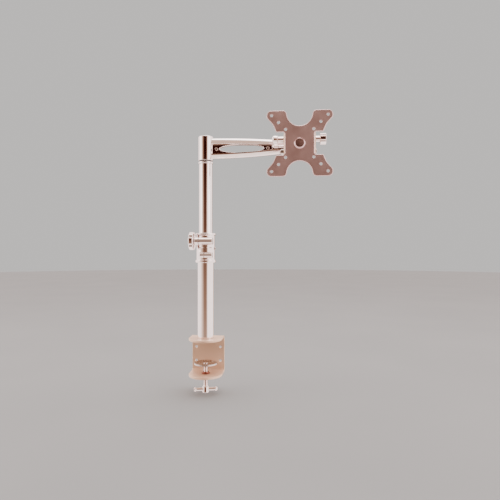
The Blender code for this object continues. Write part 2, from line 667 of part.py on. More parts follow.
def beam_section(x, count=24):
    """Return a cross-section of the beam: an oval with full corners, rounder towards the head."""
    top, bottom = beam_top(x), beam_bottom(x)
    part = x / BEAM_END
    widest = (top + bottom) / 2 - WIDEST_DROP * part ** 2
    power = 2 / (BEAM_CROWN[0] + (BEAM_CROWN[1] - BEAM_CROWN[0]) * part)
    points = []
    for i in range(count):
        angle = math.tau * (i + 0.5) / count
        across = math.copysign(abs(math.cos(angle)) ** power, math.cos(angle))
        up = math.copysign(abs(math.sin(angle)) ** power, math.sin(angle))
        reach = top - widest if up > 0 else widest - bottom
        points.append((x, BEAM_HALF_THICKNESS * across, widest + reach * up))
    return points


def beam_mesh(first_x, stations=12):
    """Return the beam's mesh, a loft through its cross-sections."""
    shape = bmesh.new()
    rings = [[shape.verts.new(point) for point in beam_section(first_x + (BEAM_END - first_x) * i / stations)]
             for i in range(stations + 1)]
    for near, far in zip(rings, rings[1:]):
        for i, corner in enumerate(near):
            after = (i + 1) % len(near)
            shape.faces.new((corner, near[after], far[after], far[i]))
    shape.faces.new(rings[0])
    shape.faces.new(rings[-1])
    bmesh.ops.recalc_face_normals(shape, faces=shape.faces)
    mesh = bpy.data.meshes.new("arm")
    shape.to_mesh(mesh)
    shape.free()
    return mesh


def recess_outline(count=6):
    """Return the recess between the arm's two rails, as (x, z)."""
    start, end = RECESS_X
    inner = [start + (end - start) * i / count for i in range(1, count)]
    thinning = (TOP_RAIL[0] - TOP_RAIL[1]) / end

    def ceiling(x):
        return beam_top(x) - TOP_RAIL[0] + thinning * x

    def floor(x):
        return beam_bottom(x) + BOTTOM_RAIL

    return rounded([(start, ceiling(start), 0.003), *((x, ceiling(x), 0) for x in inner),
                    (end, ceiling(end), 0.002), (end, floor(end), 0.002),
                    *((x, floor(x), 0) for x in reversed(inner)), (start, floor(start), 0.003)])


def window_outline(steps=36):
    """Return the long oval window in the arm's web, as (x, z)."""
    angles = [math.tau * i / steps for i in range(steps)]
    return [(WINDOW_CENTRE[0] + WINDOW_SEMI_AXES[0] * math.cos(a),
             WINDOW_CENTRE[1] + WINDOW_SEMI_AXES[1] * math.sin(a)) for a in angles]


def build_arm():
    """The arm casting with its hub, rails, pierced web and eye, and its hub's inner pieces."""
    arm = add_piece("arm", beam_mesh(0.002), arm_body, (0, 0, 0), TURNS["Z"], "chrome")
    edge = 0.0012
    hub = turned_tool("hub", [(HUB_RADIUS - edge, HUB_TOP), (HUB_RADIUS, HUB_TOP - edge),
                              (HUB_RADIUS, HUB_BOTTOM + 0.0006), (HUB_RADIUS - 0.0006, HUB_BOTTOM)],
                      (0, 0, 0), steps=FINE)
    combine(arm, hub, "UNION")
    combine(arm, box_tool("neck", (BEAM_END - 0.002, -NECK_HALF_THICKNESS, EYE_Z[0]),
                          (head_x, NECK_HALF_THICKNESS, EYE_Z[1])), "UNION")
    combine(arm, cylinder_tool("eye", EYE_RADIUS, EYE_Z[1] - EYE_Z[0], (head_x, 0, EYE_Z[0]), "Z", MEDIUM),
            "UNION")
    for side in (-1, 1):
        middle = side * (WEB_HALF_THICKNESS + 0.010)
        combine(arm, slab_tool("recess", [recess_outline()], 0.020, (0, middle, 0), "-Y"))
    combine(arm, slab_tool("window", [window_outline()], 0.04, (0, 0, 0), "-Y"))
    liner_hole = 0.0113
    cap_hole = 0.0120
    lip_hole = SPIGOT_RADIUS + 0.0005
    lip_bottom, lip_top = HUB_LIP
    hub_bore = turned_tool("hub_bore", [(cap_hole, HUB_TOP + 0.01), (cap_hole, lip_top), (lip_hole, lip_top),
                                        (lip_hole, lip_bottom), (liner_hole, lip_bottom),
                                        (liner_hole, HUB_BOTTOM - 0.01)], (0, 0, 0), steps=MEDIUM)
    combine(arm, hub_bore)
    combine(arm, cylinder_tool("eye_hole", SWIVEL_BOLT_RADIUS + 0.0004, 0.05, (head_x, 0, 0.340)))
    for x in WEB_SCREW_X:
        combine(arm, cylinder_tool("web_screw_hole", 0.0018, 0.02, (x, 0.010, WEB_SCREW_Z), "-Y"))

    turned("arm_washer", arm_body, ring_profile(0.0124, SPIGOT_RADIUS + GAP, RING_TOP + GAP,
                                                HUB_BOTTOM - GAP),
           (0, 0, 0), "nylon", steps=MEDIUM, closed=True)
    turned("hub_liner", arm_body, ring_profile(liner_hole - GAP, SPIGOT_RADIUS + GAP,
                                               HUB_BOTTOM + 0.0004, lip_bottom - GAP),
           (0, 0, 0), "nylon", steps=MEDIUM, closed=True)
    cap_radius = cap_hole - GAP
    turned("hub_cap", arm_body,
           [(0, HUB_TOP + 0.0008), (0.006, HUB_TOP + 0.0006), (cap_radius - 0.0008, HUB_TOP - 0.0001),
            (cap_radius, HUB_TOP - 0.0009), (cap_radius, HUB_TOP - 0.0045), (0, HUB_TOP - 0.0045)],
           (0, 0, 0), "chrome", steps=MEDIUM)
    for number, x in enumerate(WEB_SCREW_X, 1):
        screw_with_socket(f"web_screw_{number}", arm_body, (0.0030, 0.0022), (0.0015, 0.0064),
                          (x, -WEB_HALF_THICKNESS - GAP, WEB_SCREW_Z), "-Y", "zinc", 0.0025)


def build_head():
    """The swivelling block with its fork, the swivel bolt, washers and nut."""
    block = turned("head_block", head,
                   [(0, BLOCK_HALF_WIDTH), (BARREL_RADIUS - 0.0005, BLOCK_HALF_WIDTH),
                    (BARREL_RADIUS, BLOCK_HALF_WIDTH - 0.0005),
                    (BARREL_RADIUS, -BLOCK_HALF_WIDTH + 0.0005),
                    (BARREL_RADIUS - 0.0005, -BLOCK_HALF_WIDTH), (0, -BLOCK_HALF_WIDTH)],
                   (head_x, TILT_Y, TILT_Z), "chrome", "X", MEDIUM)
    web_front, web_back = BLOCK_WEB_Y
    web = box_tool("block_web", (head_x - BLOCK_HALF_WIDTH + 0.001, web_front, LOWER_TONGUE_Z[0]),
                   (head_x + BLOCK_HALF_WIDTH - 0.001, web_back, UPPER_TONGUE_Z[1]))
    combine(block, web, "UNION")
    for side in (-1, 1):
        near, far = sorted((side * CHEEK_INNER, side * (BLOCK_HALF_WIDTH - 0.001)))
        cheek = box_tool("cheek", (head_x + near, TILT_Y - 0.0035, TILT_Z - 0.012),
                         (head_x + far, web_front + 0.001, TILT_Z + 0.0045))
        combine(block, cheek, "UNION")
    for bottom, top in (UPPER_TONGUE_Z, LOWER_TONGUE_Z):
        tongue = [(-FORK_RADIUS, web_front + 0.0008), (FORK_RADIUS, web_front + 0.0008),
                  *arc((0, 0), FORK_RADIUS, 0, 180, 16)]
        combine(block, slab_tool("tongue", [tongue], top - bottom, (head_x, 0, (bottom + top) / 2)),
                "UNION")
    saddle = box_tool("saddle", (head_x - 0.012, TILT_Y, UPPER_TONGUE_Z[0]),
                      (head_x + 0.012, web_front + 0.001, UPPER_TONGUE_Z[1]))
    combine(block, saddle, "UNION")
    combine(block, cylinder_tool("tilt_bore", TILT_BOLT_RADIUS + GAP, 0.08,
                                 (head_x - 0.04, TILT_Y, TILT_Z), "X"))
    combine(block, cylinder_tool("swivel_bore", SWIVEL_BOLT_RADIUS + GAP, 0.06, (head_x, 0, 0.335)))

    for name, (bottom, top) in (("swivel_washer_lower", (LOWER_TONGUE_Z[1], EYE_Z[0])),
                                ("swivel_washer_upper", (EYE_Z[1], UPPER_TONGUE_Z[0]))):
        turned(name, head, ring_profile(0.0105, SWIVEL_BOLT_RADIUS + GAP, bottom + GAP, top - GAP),
               (head_x, 0, 0), "nylon", steps=MEDIUM, closed=True)
    head_bottom = UPPER_TONGUE_Z[1] + GAP
    nut_top = LOWER_TONGUE_Z[0] - GAP
    screw_with_socket("swivel_bolt", head, (0.0080, 0.0045),
                      (SWIVEL_BOLT_RADIUS, head_bottom - nut_top + 0.0052),
                      (head_x, 0, head_bottom), "Z", "zinc", 0.0060)
    nut("swivel_nut", head, 0.0150, SWIVEL_BOLT_RADIUS + GAP, 0.0050, (head_x, 0, nut_top - 0.0025), "Z")


def build_tilt_axle():
    """The tilt bolt with its cap nut, spacers and friction washers."""
    ear_inner = EAR_OUTER - BRACKET_SHEET
    bolt_left = CAP_NUT_OUTER - 0.004
    bolt_right = TILT_KNOB_OUTER - 0.005
    turned("tilt_bolt", head,
           [(0, bolt_right), (TILT_BOLT_RADIUS - 0.0005, bolt_right),
            (TILT_BOLT_RADIUS, bolt_right - 0.0005), (TILT_BOLT_RADIUS, -bolt_left + 0.0005),
            (TILT_BOLT_RADIUS - 0.0005, -bolt_left), (0, -bolt_left)],
           (head_x, TILT_Y, TILT_Z), "zinc", "X", SMALL)
    cap_inner = SPACER_OUTER + GAP + 0.0025
    cap = turned("tilt_cap_nut", head,
                 [(0, CAP_NUT_OUTER), (CAP_NUT_RADIUS - 0.0035, CAP_NUT_OUTER - 0.0004),
                  (CAP_NUT_RADIUS - 0.0012, CAP_NUT_OUTER - 0.0015),
                  (CAP_NUT_RADIUS, CAP_NUT_OUTER - 0.0035), (CAP_NUT_RADIUS, cap_inner + 0.0006),
                  (CAP_NUT_RADIUS - 0.0006, cap_inner), (0, cap_inner)],
                 (head_x, TILT_Y, TILT_Z), "chrome", "-X", MEDIUM)
    combine(cap, cylinder_tool("cap_bore", TILT_BOLT_RADIUS + GAP, 0.02,
                               (head_x - bolt_left - GAP, TILT_Y, TILT_Z), "X"))
    spacer = (("tilt_spacer_left", "-X", cap_inner - GAP), ("tilt_spacer_right", "X", SPACER_OUTER))
    for name, axis, outer in spacer:
        turned(name, head, ring_profile(SPACER_RADIUS, TILT_BOLT_RADIUS + GAP, EAR_OUTER + GAP, outer),
               (head_x, TILT_Y, TILT_Z), "chrome", axis, MEDIUM, closed=True)
    for name, axis in (("friction_washer_left", "-X"), ("friction_washer_right", "X")):
        turned(name, head, ring_profile(0.0065, TILT_BOLT_RADIUS + GAP, BLOCK_HALF_WIDTH + GAP,
                                        ear_inner - GAP),
               (head_x, TILT_Y, TILT_Z), "nylon", axis, SMALL, closed=True)
    build_knob("tilt_knob", tilt_knob_body, TILT_KNOB_RADIUS, 0.0014, KNOB_LOBES,
               TILT_KNOB_OUTER - SPACER_OUTER - GAP, 0.0012, TILT_BOLT_RADIUS + GAP,
               (head_x + SPACER_OUTER + GAP, TILT_Y, TILT_Z), "X")


def build_tilt_bracket():
    """The U-shaped bracket behind the plate, with the stop bolt through its ears."""
    back = 0.0
    outer_bend = 0.0045
    inner = EAR_OUTER - BRACKET_SHEET
    u_shape = rounded([
        (-EAR_OUTER, back, 0), (-EAR_OUTER, BRACKET_FRONT, outer_bend),
        (EAR_OUTER, BRACKET_FRONT, outer_bend), (EAR_OUTER, back, 0), (inner, back, 0),
        (inner, BRACKET_FRONT + BRACKET_SHEET, outer_bend - BRACKET_SHEET),
        (-inner, BRACKET_FRONT + BRACKET_SHEET, outer_bend - BRACKET_SHEET), (-inner, back, 0),
    ])
    bottom, top = BRACKET_Z
    bracket = slab("tilt_bracket", tilt, [u_shape], top - bottom, (head_x, 0, (top + bottom) / 2),
                   "painted_steel")
    # The ears' side view, as (y, z) from the tilt axis: two round noses and a straight front.
    stop_z = STOP_BOLT_Z - TILT_Z
    front = BRACKET_FRONT - TILT_Y - 0.001
    ear = [(front, EAR_NOSE_RADIUS), *arc((0, 0), EAR_NOSE_RADIUS, 90, -10, 10),
           *arc((0, stop_z), STOP_NOSE_RADIUS, -10, -90, 8), (front, stop_z - STOP_NOSE_RADIUS)]
    # Turned to face X, a slab's own x runs down and its own y runs along +Y.
    side = [(-z, y) for y, z in ear]
    combine(bracket, slab_tool("ear_side", [side], 0.08, (head_x, TILT_Y, TILT_Z), "X"), "INTERSECT")
    start = head_x - 0.04
    combine(bracket, cylinder_tool("ear_bore", TILT_BOLT_RADIUS + GAP, 0.08, (start, TILT_Y, TILT_Z), "X"))
    combine(bracket, cylinder_tool("stop_bore", STOP_BOLT_RADIUS + GAP, 0.08,
                                   (start, TILT_Y, STOP_BOLT_Z), "X"))
    combine(bracket, cylinder_tool("pivot_bore", PIVOT_RADIUS + GAP, 0.02,
                                   (head_x, BRACKET_FRONT - 0.01, PLATE_Z), "Y"))

    face = EAR_OUTER + GAP
    screw_with_socket("stop_bolt", tilt, (0.0047, 0.0026), (STOP_BOLT_RADIUS, 2 * face + 0.0072),
                      (head_x + face, TILT_Y, STOP_BOLT_Z), "X", "zinc", 0.0035)
    nut("stop_bolt_nut", tilt, 0.0096, STOP_BOLT_RADIUS + GAP, 0.0046,
        (head_x - face - 0.0023, TILT_Y, STOP_BOLT_Z), "X")

    washer_front = PLATE_FRONT - GAP
    inside = BRACKET_FRONT + BRACKET_SHEET + GAP
    head_height = 0.0032
    tail = inside + 0.0055 - washer_front
    turned("plate_pivot", tilt,
           [(0, head_height), (PIVOT_HEAD_RADIUS - 0.0030, head_height),
            (PIVOT_HEAD_RADIUS - 0.0006, 0.0008), (PIVOT_HEAD_RADIUS - 0.0006, 0),
            (PIVOT_RADIUS, 0), (PIVOT_RADIUS, -tail + 0.0005), (PIVOT_RADIUS - 0.0005, -tail), (0, -tail)],
           (head_x, washer_front, PLATE_Z), "satin_steel", "-Y", MEDIUM)
    nut("plate_pivot_nut", tilt, 0.0140, PIVOT_RADIUS + GAP, 0.0042,
        (head_x, inside + 0.0021, PLATE_Z), "-Y")


def plate_outline():
    """Return the plate's outline, as (x, z) from its centre: an X with round notches."""
    half = PLATE_HALF_SIZE
    fillet_z = half - NOTCH_FILLET
    reach = NOTCH_RADIUS + NOTCH_FILLET
    fillet_x = math.sqrt(reach ** 2 - (NOTCH_Z - fillet_z) ** 2)
    # Where the fillet runs into the notch, seen from the notch's centre.
    turn = -math.degrees(math.asin((NOTCH_Z - fillet_z) / reach))
    quarter = rounded([(WAIST_HALF_WIDTH, 0, 0), (WAIST_HALF_WIDTH, WAIST_HALF_HEIGHT, 0.0035),
                       (0.0420, WAIST_HALF_HEIGHT, 0.0018), (0.0476, 0.0340, 0),
                       (half, 0.0465, 0.006), (half, half, 0.0085), (fillet_x, half, 0)], 5)
    quarter += arc((fillet_x, fillet_z), NOTCH_FILLET, 90, 180 + turn, 6)[1:-1]
    quarter += arc((0, NOTCH_Z), NOTCH_RADIUS, turn, -90, 9)
    left = [(-x, z) for x, z in reversed(quarter[:-1])]
    top = quarter + left
    bottom = [(x, -z) for x, z in reversed(top[1:-1])]
    return top + bottom


def build_plate():
    """The mounting plate with its three square hole patterns, and its nylon washer."""
    holes = [circle((sx * half, sz * half), VESA_HOLE_RADIUS, 16)
             for half in VESA_HALF_SPACINGS for sx in (-1, 1) for sz in (-1, 1)]
    holes.append(circle((0, 0), PIVOT_RADIUS + GAP, SMALL))
    slab("vesa_plate", plate_body, [plate_outline(), *holes], PLATE_THICKNESS,
         (head_x, PLATE_FRONT + PLATE_THICKNESS / 2, PLATE_Z), "satin_steel", "-Y")


build_clamp_bracket()
build_base()
build_clamp_screw()
build_collar()
build_height_knob()
build_upper_pole()
build_arm()
build_head()
build_tilt_axle()
build_tilt_bracket()
build_plate()
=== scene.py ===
"""Looks of the desk-clamp monitor arm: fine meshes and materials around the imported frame."""

import json
import math

import bmesh
import bpy
from mathutils import Euler, Matrix, Vector


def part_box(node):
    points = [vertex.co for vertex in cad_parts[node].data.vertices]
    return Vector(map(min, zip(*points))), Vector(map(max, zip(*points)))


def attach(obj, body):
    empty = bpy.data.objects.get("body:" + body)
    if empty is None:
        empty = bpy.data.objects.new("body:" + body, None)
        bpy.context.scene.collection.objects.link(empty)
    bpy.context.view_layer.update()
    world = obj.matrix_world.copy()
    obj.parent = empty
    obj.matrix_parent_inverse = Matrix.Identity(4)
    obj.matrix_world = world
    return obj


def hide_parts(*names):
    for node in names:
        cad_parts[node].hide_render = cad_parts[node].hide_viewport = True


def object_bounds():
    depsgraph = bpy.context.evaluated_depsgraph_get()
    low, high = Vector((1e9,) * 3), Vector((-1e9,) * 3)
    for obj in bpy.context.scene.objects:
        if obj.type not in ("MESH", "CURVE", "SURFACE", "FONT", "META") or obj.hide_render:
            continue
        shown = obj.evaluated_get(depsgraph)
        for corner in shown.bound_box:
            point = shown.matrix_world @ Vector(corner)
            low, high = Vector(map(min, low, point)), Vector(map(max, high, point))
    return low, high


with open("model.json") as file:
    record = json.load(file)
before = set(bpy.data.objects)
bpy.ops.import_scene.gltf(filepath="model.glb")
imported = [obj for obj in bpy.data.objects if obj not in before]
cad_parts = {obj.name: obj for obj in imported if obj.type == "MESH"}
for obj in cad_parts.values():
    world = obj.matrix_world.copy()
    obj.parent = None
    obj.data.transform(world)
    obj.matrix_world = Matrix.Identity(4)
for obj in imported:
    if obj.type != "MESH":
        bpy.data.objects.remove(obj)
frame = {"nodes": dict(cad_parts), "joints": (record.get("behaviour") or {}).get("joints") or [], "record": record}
cad_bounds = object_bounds()

MM = 0.001
FINE = 160       # facets round the large turned pieces
MEDIUM = 96      # facets round the small ones
GAP = 0.3 * MM   # clearance between neighbouring pieces
KNOB_LOBES = 6
SHARP_ANGLE = math.radians(32)   # shading breaks where faces meet more steeply

TURNS = {
    "Z": Euler((0, 0, 0)),
    "-Z": Euler((math.pi, 0, 0)),
    "X": Euler((0, math.pi / 2, 0)),
    "-X": Euler((0, -math.pi / 2, 0)),
    "Y": Euler((-math.pi / 2, 0, 0)),
    "-Y": Euler((math.pi / 2, 0, 0)),
}


# ---------------------------------------------------------------- materials

class Nodes:
    """A short way to build a node tree."""

    def __init__(self, tree):
        self.tree = tree

    def add(self, kind, **inputs):
        """Add a node and set or link its inputs, whose spaces are written as underscores."""
        node = self.tree.nodes.new(kind)
        for key, value in inputs.items():
            self.plug(value, node.inputs[key.replace("_", " ")])
        return node

    def plug(self, value, socket):
        """Link an output to a socket, or set the socket's value."""
        if isinstance(value, bpy.types.NodeSocket):
            self.tree.links.new(value, socket)
        else:
            socket.default_value = value

    def ramp(self, value, low, high, start=0.3, end=0.7):
        """Return a value mapped from start and end, at first a noise's middle, to a range."""
        node = self.add("ShaderNodeMapRange", Value=value, From_Min=start, From_Max=end,
                        To_Min=low, To_Max=high)
        return node.outputs["Result"]

    def mix(self, factor, first, second):
        """Return a mix of two colours, each a socket or three numbers."""
        node = self.tree.nodes.new("ShaderNodeMix")
        node.data_type = "RGBA"
        self.plug(factor, node.inputs["Factor"])
        for name, colour in (("A", first), ("B", second)):
            is_socket = isinstance(colour, bpy.types.NodeSocket)
            self.plug(colour if is_socket else (*colour, 1), node.inputs[name])
        return node.outputs["Result"]

    def calculate(self, operation, first, second):
        """Return the result of a sum, product or the like."""
        node = self.tree.nodes.new("ShaderNodeMath")
        node.operation = operation
        self.plug(first, node.inputs[0])
        self.plug(second, node.inputs[1])
        return node.outputs["Value"]

    def bands(self, value, stops):
        """Return a colour that runs through stops of (place, colour)."""
        node = self.add("ShaderNodeValToRGB", Fac=value)
        elements = node.color_ramp.elements
        while len(elements) < len(stops):
            elements.new(0.5)
        for element, (place, colour) in zip(elements, stops):
            element.position = place
            element.color = (*colour, 1)
        return node.outputs["Color"]


class Finish(Nodes):
    """A material's node tree, in the object's own coordinates."""

    def __init__(self, name):
        self.material = bpy.data.materials.new(name)
        self.material.use_nodes = True
        super().__init__(self.material.node_tree)
        self.shader = self.tree.nodes["Principled BSDF"]
        self.place = self.add("ShaderNodeTexCoord").outputs["Object"]

    def stretched(self, scale):
        """Return the object's coordinates, stretched."""
        mapping = self.add("ShaderNodeMapping", Vector=self.place)
        mapping.inputs["Scale"].default_value = scale
        return mapping.outputs["Vector"]

    def noise(self, scale, detail=3.0, where=None):
        """Return the value of a noise whose features are about 1/scale metres."""
        node = self.add("ShaderNodeTexNoise", Vector=where or self.place, Scale=scale, Detail=detail)
        return node.outputs["Fac"]

    def tint(self, value, dark, light):
        """Return a colour between two, by a noise."""
        return self.mix(self.ramp(value, 0, 1), dark, light)

    def bump(self, height, distance, strength, under=None):
        """Return a normal bumped by a height, on top of another bump."""
        node = self.add("ShaderNodeBump", Height=height, Distance=distance, Strength=strength)
        if under:
            self.plug(under, node.inputs["Normal"])
        return node.outputs["Normal"]

    def surface(self, **inputs):
        """Set or link the shader's inputs and return the material."""
        for key, value in inputs.items():
            self.plug(value, self.shader.inputs[key.replace("_", " ")])
        return self.material


def chrome_material():
    """Polished chrome: a near-mirror with faint polishing haze and a slow ripple."""
    n = Finish("polished_chrome")
    haze = n.noise(60, 4)
    lines = n.noise(900, 2, n.stretched((1, 1, 0.02)))
    base = n.tint(haze, (0.88, 0.79, 0.77), (0.93, 0.85, 0.83))
    fine = n.bump(lines, 0.000002, 0.35)
    ripple = n.bump(n.noise(45, 1), 0.00002, 0.25, fine)
    return n.surface(Base_Color=base, Metallic=1.0, Roughness=n.ramp(haze, 0.05, 0.11), Normal=ripple)


def satin_material():
    """Satin-finished plate steel: fine bead-blasted grain with a slow change of tone."""
    n = Finish("satin_plate")
    tone = n.noise(38, 5)
    grain = n.noise(2600, 2)
    base = n.tint(tone, (0.58, 0.42, 0.42), (0.65, 0.48, 0.48))
    normal = n.bump(grain, 0.00002, 0.35)
    return n.surface(Base_Color=base, Metallic=1.0, Roughness=n.ramp(tone, 0.35, 0.43), Normal=normal)


def turned_material():
    """Fine-turned steel of the plate's boss: rings of tool marks under a soft shine."""
    n = Finish("turned_steel")
    tone = n.noise(90, 3)
    rings = n.add("ShaderNodeTexWave", Vector=n.place, Scale=220.0, Distortion=0.3)
    rings.wave_type = "RINGS"
    rings.rings_direction = "Y"
    base = n.tint(tone, (0.54, 0.38, 0.37), (0.62, 0.45, 0.44))
    normal = n.bump(rings.outputs["Fac"], 0.000015, 0.4)
    return n.surface(Base_Color=base, Metallic=1.0, Roughness=n.ramp(tone, 0.22, 0.28), Normal=normal)


def coated_material():
    """Pale satin coating on sheet steel: soft orange peel and a thin clear sheen."""
    n = Finish("pale_coated_steel")
    tone = n.noise(30, 4)
    peel = n.noise(900, 1.5)
    base = n.tint(tone, (0.82, 0.57, 0.40), (0.88, 0.62, 0.45))
    normal = n.bump(peel, 0.00003, 0.30)
    n.surface(Base_Color=base, Metallic=0.35, Roughness=n.ramp(tone, 0.30, 0.38), Normal=normal)
    return n.surface(Coat_Weight=0.12, Coat_Roughness=0.12)


def zinc_material():
    """Zinc-plated hardware: bright, slightly mottled, with fine scratches."""
    n = Finish("zinc_hardware")
    spangle = n.noise(700, 3)
    scratch = n.noise(1500, 2, n.stretched((1, 0.1, 1)))
    base = n.tint(spangle, (0.48, 0.42, 0.39), (0.64, 0.58, 0.55))
    normal = n.bump(scratch, 0.00001, 0.4)
    return n.surface(Base_Color=base, Metallic=1.0, Roughness=n.ramp(spangle, 0.18, 0.32), Normal=normal)


def brass_material():
    """Reddish, dull brass nut."""
    n = Finish("brass_nut")
    patina = n.noise(400, 4)
    base = n.tint(patina, (0.20, 0.06, 0.04), (0.34, 0.13, 0.09))
    normal = n.bump(n.noise(1800, 2), 0.00001, 0.4)
    return n.surface(Base_Color=base, Metallic=1.0, Roughness=n.ramp(patina, 0.25, 0.42), Normal=normal)


def nylon_material():
    """Black nylon: matt, with a fine moulded grain."""
    n = Finish("dark_nylon")
    cloud = n.noise(120, 3)
    base = n.tint(cloud, (0.014, 0.012, 0.012), (0.030, 0.027, 0.026))
    normal = n.bump(n.noise(2200, 2), 0.00002, 0.4)
    return n.surface(Base_Color=base, Roughness=n.ramp(cloud, 0.42, 0.56), Normal=normal)


MATERIALS = {
    "polished_chrome": chrome_material(),
    "satin_plate": satin_material(),
    "turned_steel": turned_material(),
    "pale_coated_steel": coated_material(),
    "zinc_hardware": zinc_material(),
    "brass_nut": brass_material(),
    "dark_nylon": nylon_material(),
}
SLOT_OF = {part["node"]: part["material_slot"] for part in frame["record"]["subparts"]}
BODY_OF = {node: body for body, nodes in frame["record"]["behaviour"]["bodies"].items()
           for node in nodes}


# ---------------------------------------------------------------- mesh tools

def new_object(name, data):
    """Put a mesh, lamp or camera in the scene."""
    piece = bpy.data.objects.new(name, data)
    bpy.context.scene.collection.objects.link(piece)
    return piece


def from_bmesh(name, shape):
    """Turn a bmesh into an object."""
    mesh = bpy.data.meshes.new(name)
    bmesh.ops.recalc_face_normals(shape, faces=shape.faces)
    shape.to_mesh(mesh)
    shape.free()
    return new_object(name, mesh)


def put(piece, at, axis="Z"):
    """Turn a piece from Z to a named axis or by an Euler, move it, and apply both to its mesh."""
    turn = TURNS[axis] if isinstance(axis, str) else axis
    piece.data.transform(Matrix.Translation(at) @ turn.to_matrix().to_4x4())
    return piece


def arc(centre, radius, start, end, count):
    """Return points on an arc, from one angle in degrees to another."""
    angles = [math.radians(start + (end - start) * i / count) for i in range(count + 1)]
    return [(centre[0] + radius * math.cos(a), centre[1] + radius * math.sin(a)) for a in angles]


def circle(radius, steps=MEDIUM, centre=(0, 0)):
    """Return a circle's points, anticlockwise."""
    return arc(centre, radius, 0, 360 - 360 / steps, steps - 1)


def rounded(corners, count=8):
    """Return an outline whose corners (x, y, radius) are rounded."""
    outline = []
    for i, (x, y, radius) in enumerate(corners):
        corner = Vector((x, y))
        if radius == 0:
            outline.append((x, y))
            continue
        before = (Vector(corners[i - 1][:2]) - corner).normalized()
        after = (Vector(corners[(i + 1) % len(corners)][:2]) - corner).normalized()
        half_angle = before.angle(after) / 2
        centre = corner + (before + after).normalized() * radius / math.sin(half_angle)
        first = corner + before * radius / math.tan(half_angle) - centre
        last = corner + after * radius / math.tan(half_angle) - centre
        sweep = -first.angle_signed(last)
        for step in range(count + 1):
            spoke = Matrix.Rotation(sweep * step / count, 2) @ first
            outline.append((centre.x + spoke.x, centre.y + spoke.y))
    return outline


def densified(outline, longest):
    """Split an outline's long sides, so that its points are evenly close."""
    points = []
    for i, point in enumerate(outline):
        start, end = Vector(point), Vector(outline[(i + 1) % len(outline)])
        parts = max(1, math.ceil((end - start).length / longest))
        points += [tuple(start.lerp(end, k / parts)) for k in range(parts)]
    return points


def inset(outline, distance):
    """Move an anticlockwise outline's points inwards."""
    moved = []
    count = len(outline)
    for i in range(count):
        here = Vector(outline[i])
        before = (here - Vector(outline[i - 1])).normalized()
        after = (Vector(outline[(i + 1) % count]) - here).normalized()
        inward = Vector((-before.y - after.y, before.x + after.x))
        inward.normalize()
        reach = distance / max(0.5, inward.dot(Vector((-after.y, after.x))))
        moved.append(tuple(here + inward * reach))
    return moved


def loft(name, sections):
    """Skin a stack of closed loops of 3-D points, each with as many points, and cap both ends."""
    shape = bmesh.new()
    rings = [[shape.verts.new(point) for point in section] for section in sections]
    for low, high in zip(rings, rings[1:]):
        for i in range(len(low)):
            j = (i + 1) % len(low)
            shape.faces.new((low[i], low[j], high[j], high[i]))
    shape.faces.new(list(reversed(rings[0])))
    shape.faces.new(rings[-1])
    return from_bmesh(name, shape)


def pillow(name, outline, thickness, edge, steps=5, lower_edge=None):
    """Return a flat plate, centred on its thickness, with round edges. The outline is anticlockwise."""
    sections = []
    half = thickness / 2
    below = edge if lower_edge is None else lower_edge
    for side, radius in ((-1, below), (1, edge)):
        angles = [math.pi / 2 * k / steps for k in range(steps + 1)]
        band = [(radius * (1 - math.sin(a)), half - radius * (1 - math.cos(a))) for a in angles]
        if side > 0:
            band.reverse()
        for pull, height in band:
            loop = inset(outline, pull) if pull > 1e-9 else outline
            sections.append([(x, y, side * height) for x, y in loop])
    return loft(name, sections)


def lathe(name, profile, steps=FINE):
    """Turn a profile of (radius, height) points about Z. A profile off the axis is closed."""
    shape = bmesh.new()
    points = [shape.verts.new((radius, 0, height)) for radius, height in profile]
    edges = [shape.edges.new(pair) for pair in zip(points, points[1:])]
    if profile[0][0] > 0 and profile[-1][0] > 0:
        edges.append(shape.edges.new((points[-1], points[0])))
    bmesh.ops.spin(shape, geom=points + edges, cent=(0, 0, 0), axis=(0, 0, 1), angle=math.tau,
                   steps=steps, use_merge=True)
    bmesh.ops.remove_doubles(shape, verts=shape.verts, dist=1e-7)
    return from_bmesh(name, shape)


def rod(name, radius, bottom, top, edge=0.4 * MM):
    """Return a round bar along Z with rounded ends."""
    return lathe(name, rounded([(0, top, 0), (radius, top, edge), (radius, bottom, edge),
                                (0, bottom, 0)], 4), MEDIUM)


def tube(name, outer, inner, bottom, top, edge):
    """Return a tube or ring along Z with rounded rims."""
    return lathe(name, rounded([(outer, top, edge), (outer, bottom, edge), (inner, bottom, edge / 2),
                                (inner, top, edge / 2)], 4))


def apply_modifiers(piece):
    """Turn a piece's modifiers into its mesh."""
    evaluated = piece.evaluated_get(bpy.context.evaluated_depsgraph_get())
    mesh = bpy.data.meshes.new_from_object(evaluated)
    if not mesh.polygons:
        raise RuntimeError("nothing is left of " + piece.name)
    piece.modifiers.clear()
    piece.data = mesh


def boolean(piece, tool, operation="DIFFERENCE"):
    """Cut a piece by a tool, or join them, and remove the tool."""
    modifier = piece.modifiers.new("boolean", "BOOLEAN")
    modifier.operation = operation
    modifier.object = tool
    apply_modifiers(piece)
    bpy.data.objects.remove(tool, do_unlink=True)
    return piece


def hole_tool(radius, depth, flare=0.3 * MM, steps=MEDIUM):
    """Return a cutter for a hole through a plate centred on z 0, with a broken edge."""
    half = depth / 2
    spare = 2 * MM
    return lathe("hole", [(0, half + spare), (radius + flare + spare, half + spare),
                          (radius, half - flare), (radius, -half + flare),
                          (radius + flare + spare, -half - spare), (0, -half - spare)], steps)


def hexagon(across_flats):
    """Return a hexagon's points."""
    return circle(across_flats / math.sqrt(3), 6)


def prism(name, outline, *heights):
    """Return a slab with one outline at every height."""
    return loft(name, [[(x, y, z) for x, y in outline] for z in heights])


def box_between(low, high):
    """Return a box between two corners."""
    outline = [(low[0], low[1]), (high[0], low[1]), (high[0], high[1]), (low[0], high[1])]
    return prism("box", outline, low[2], high[2])


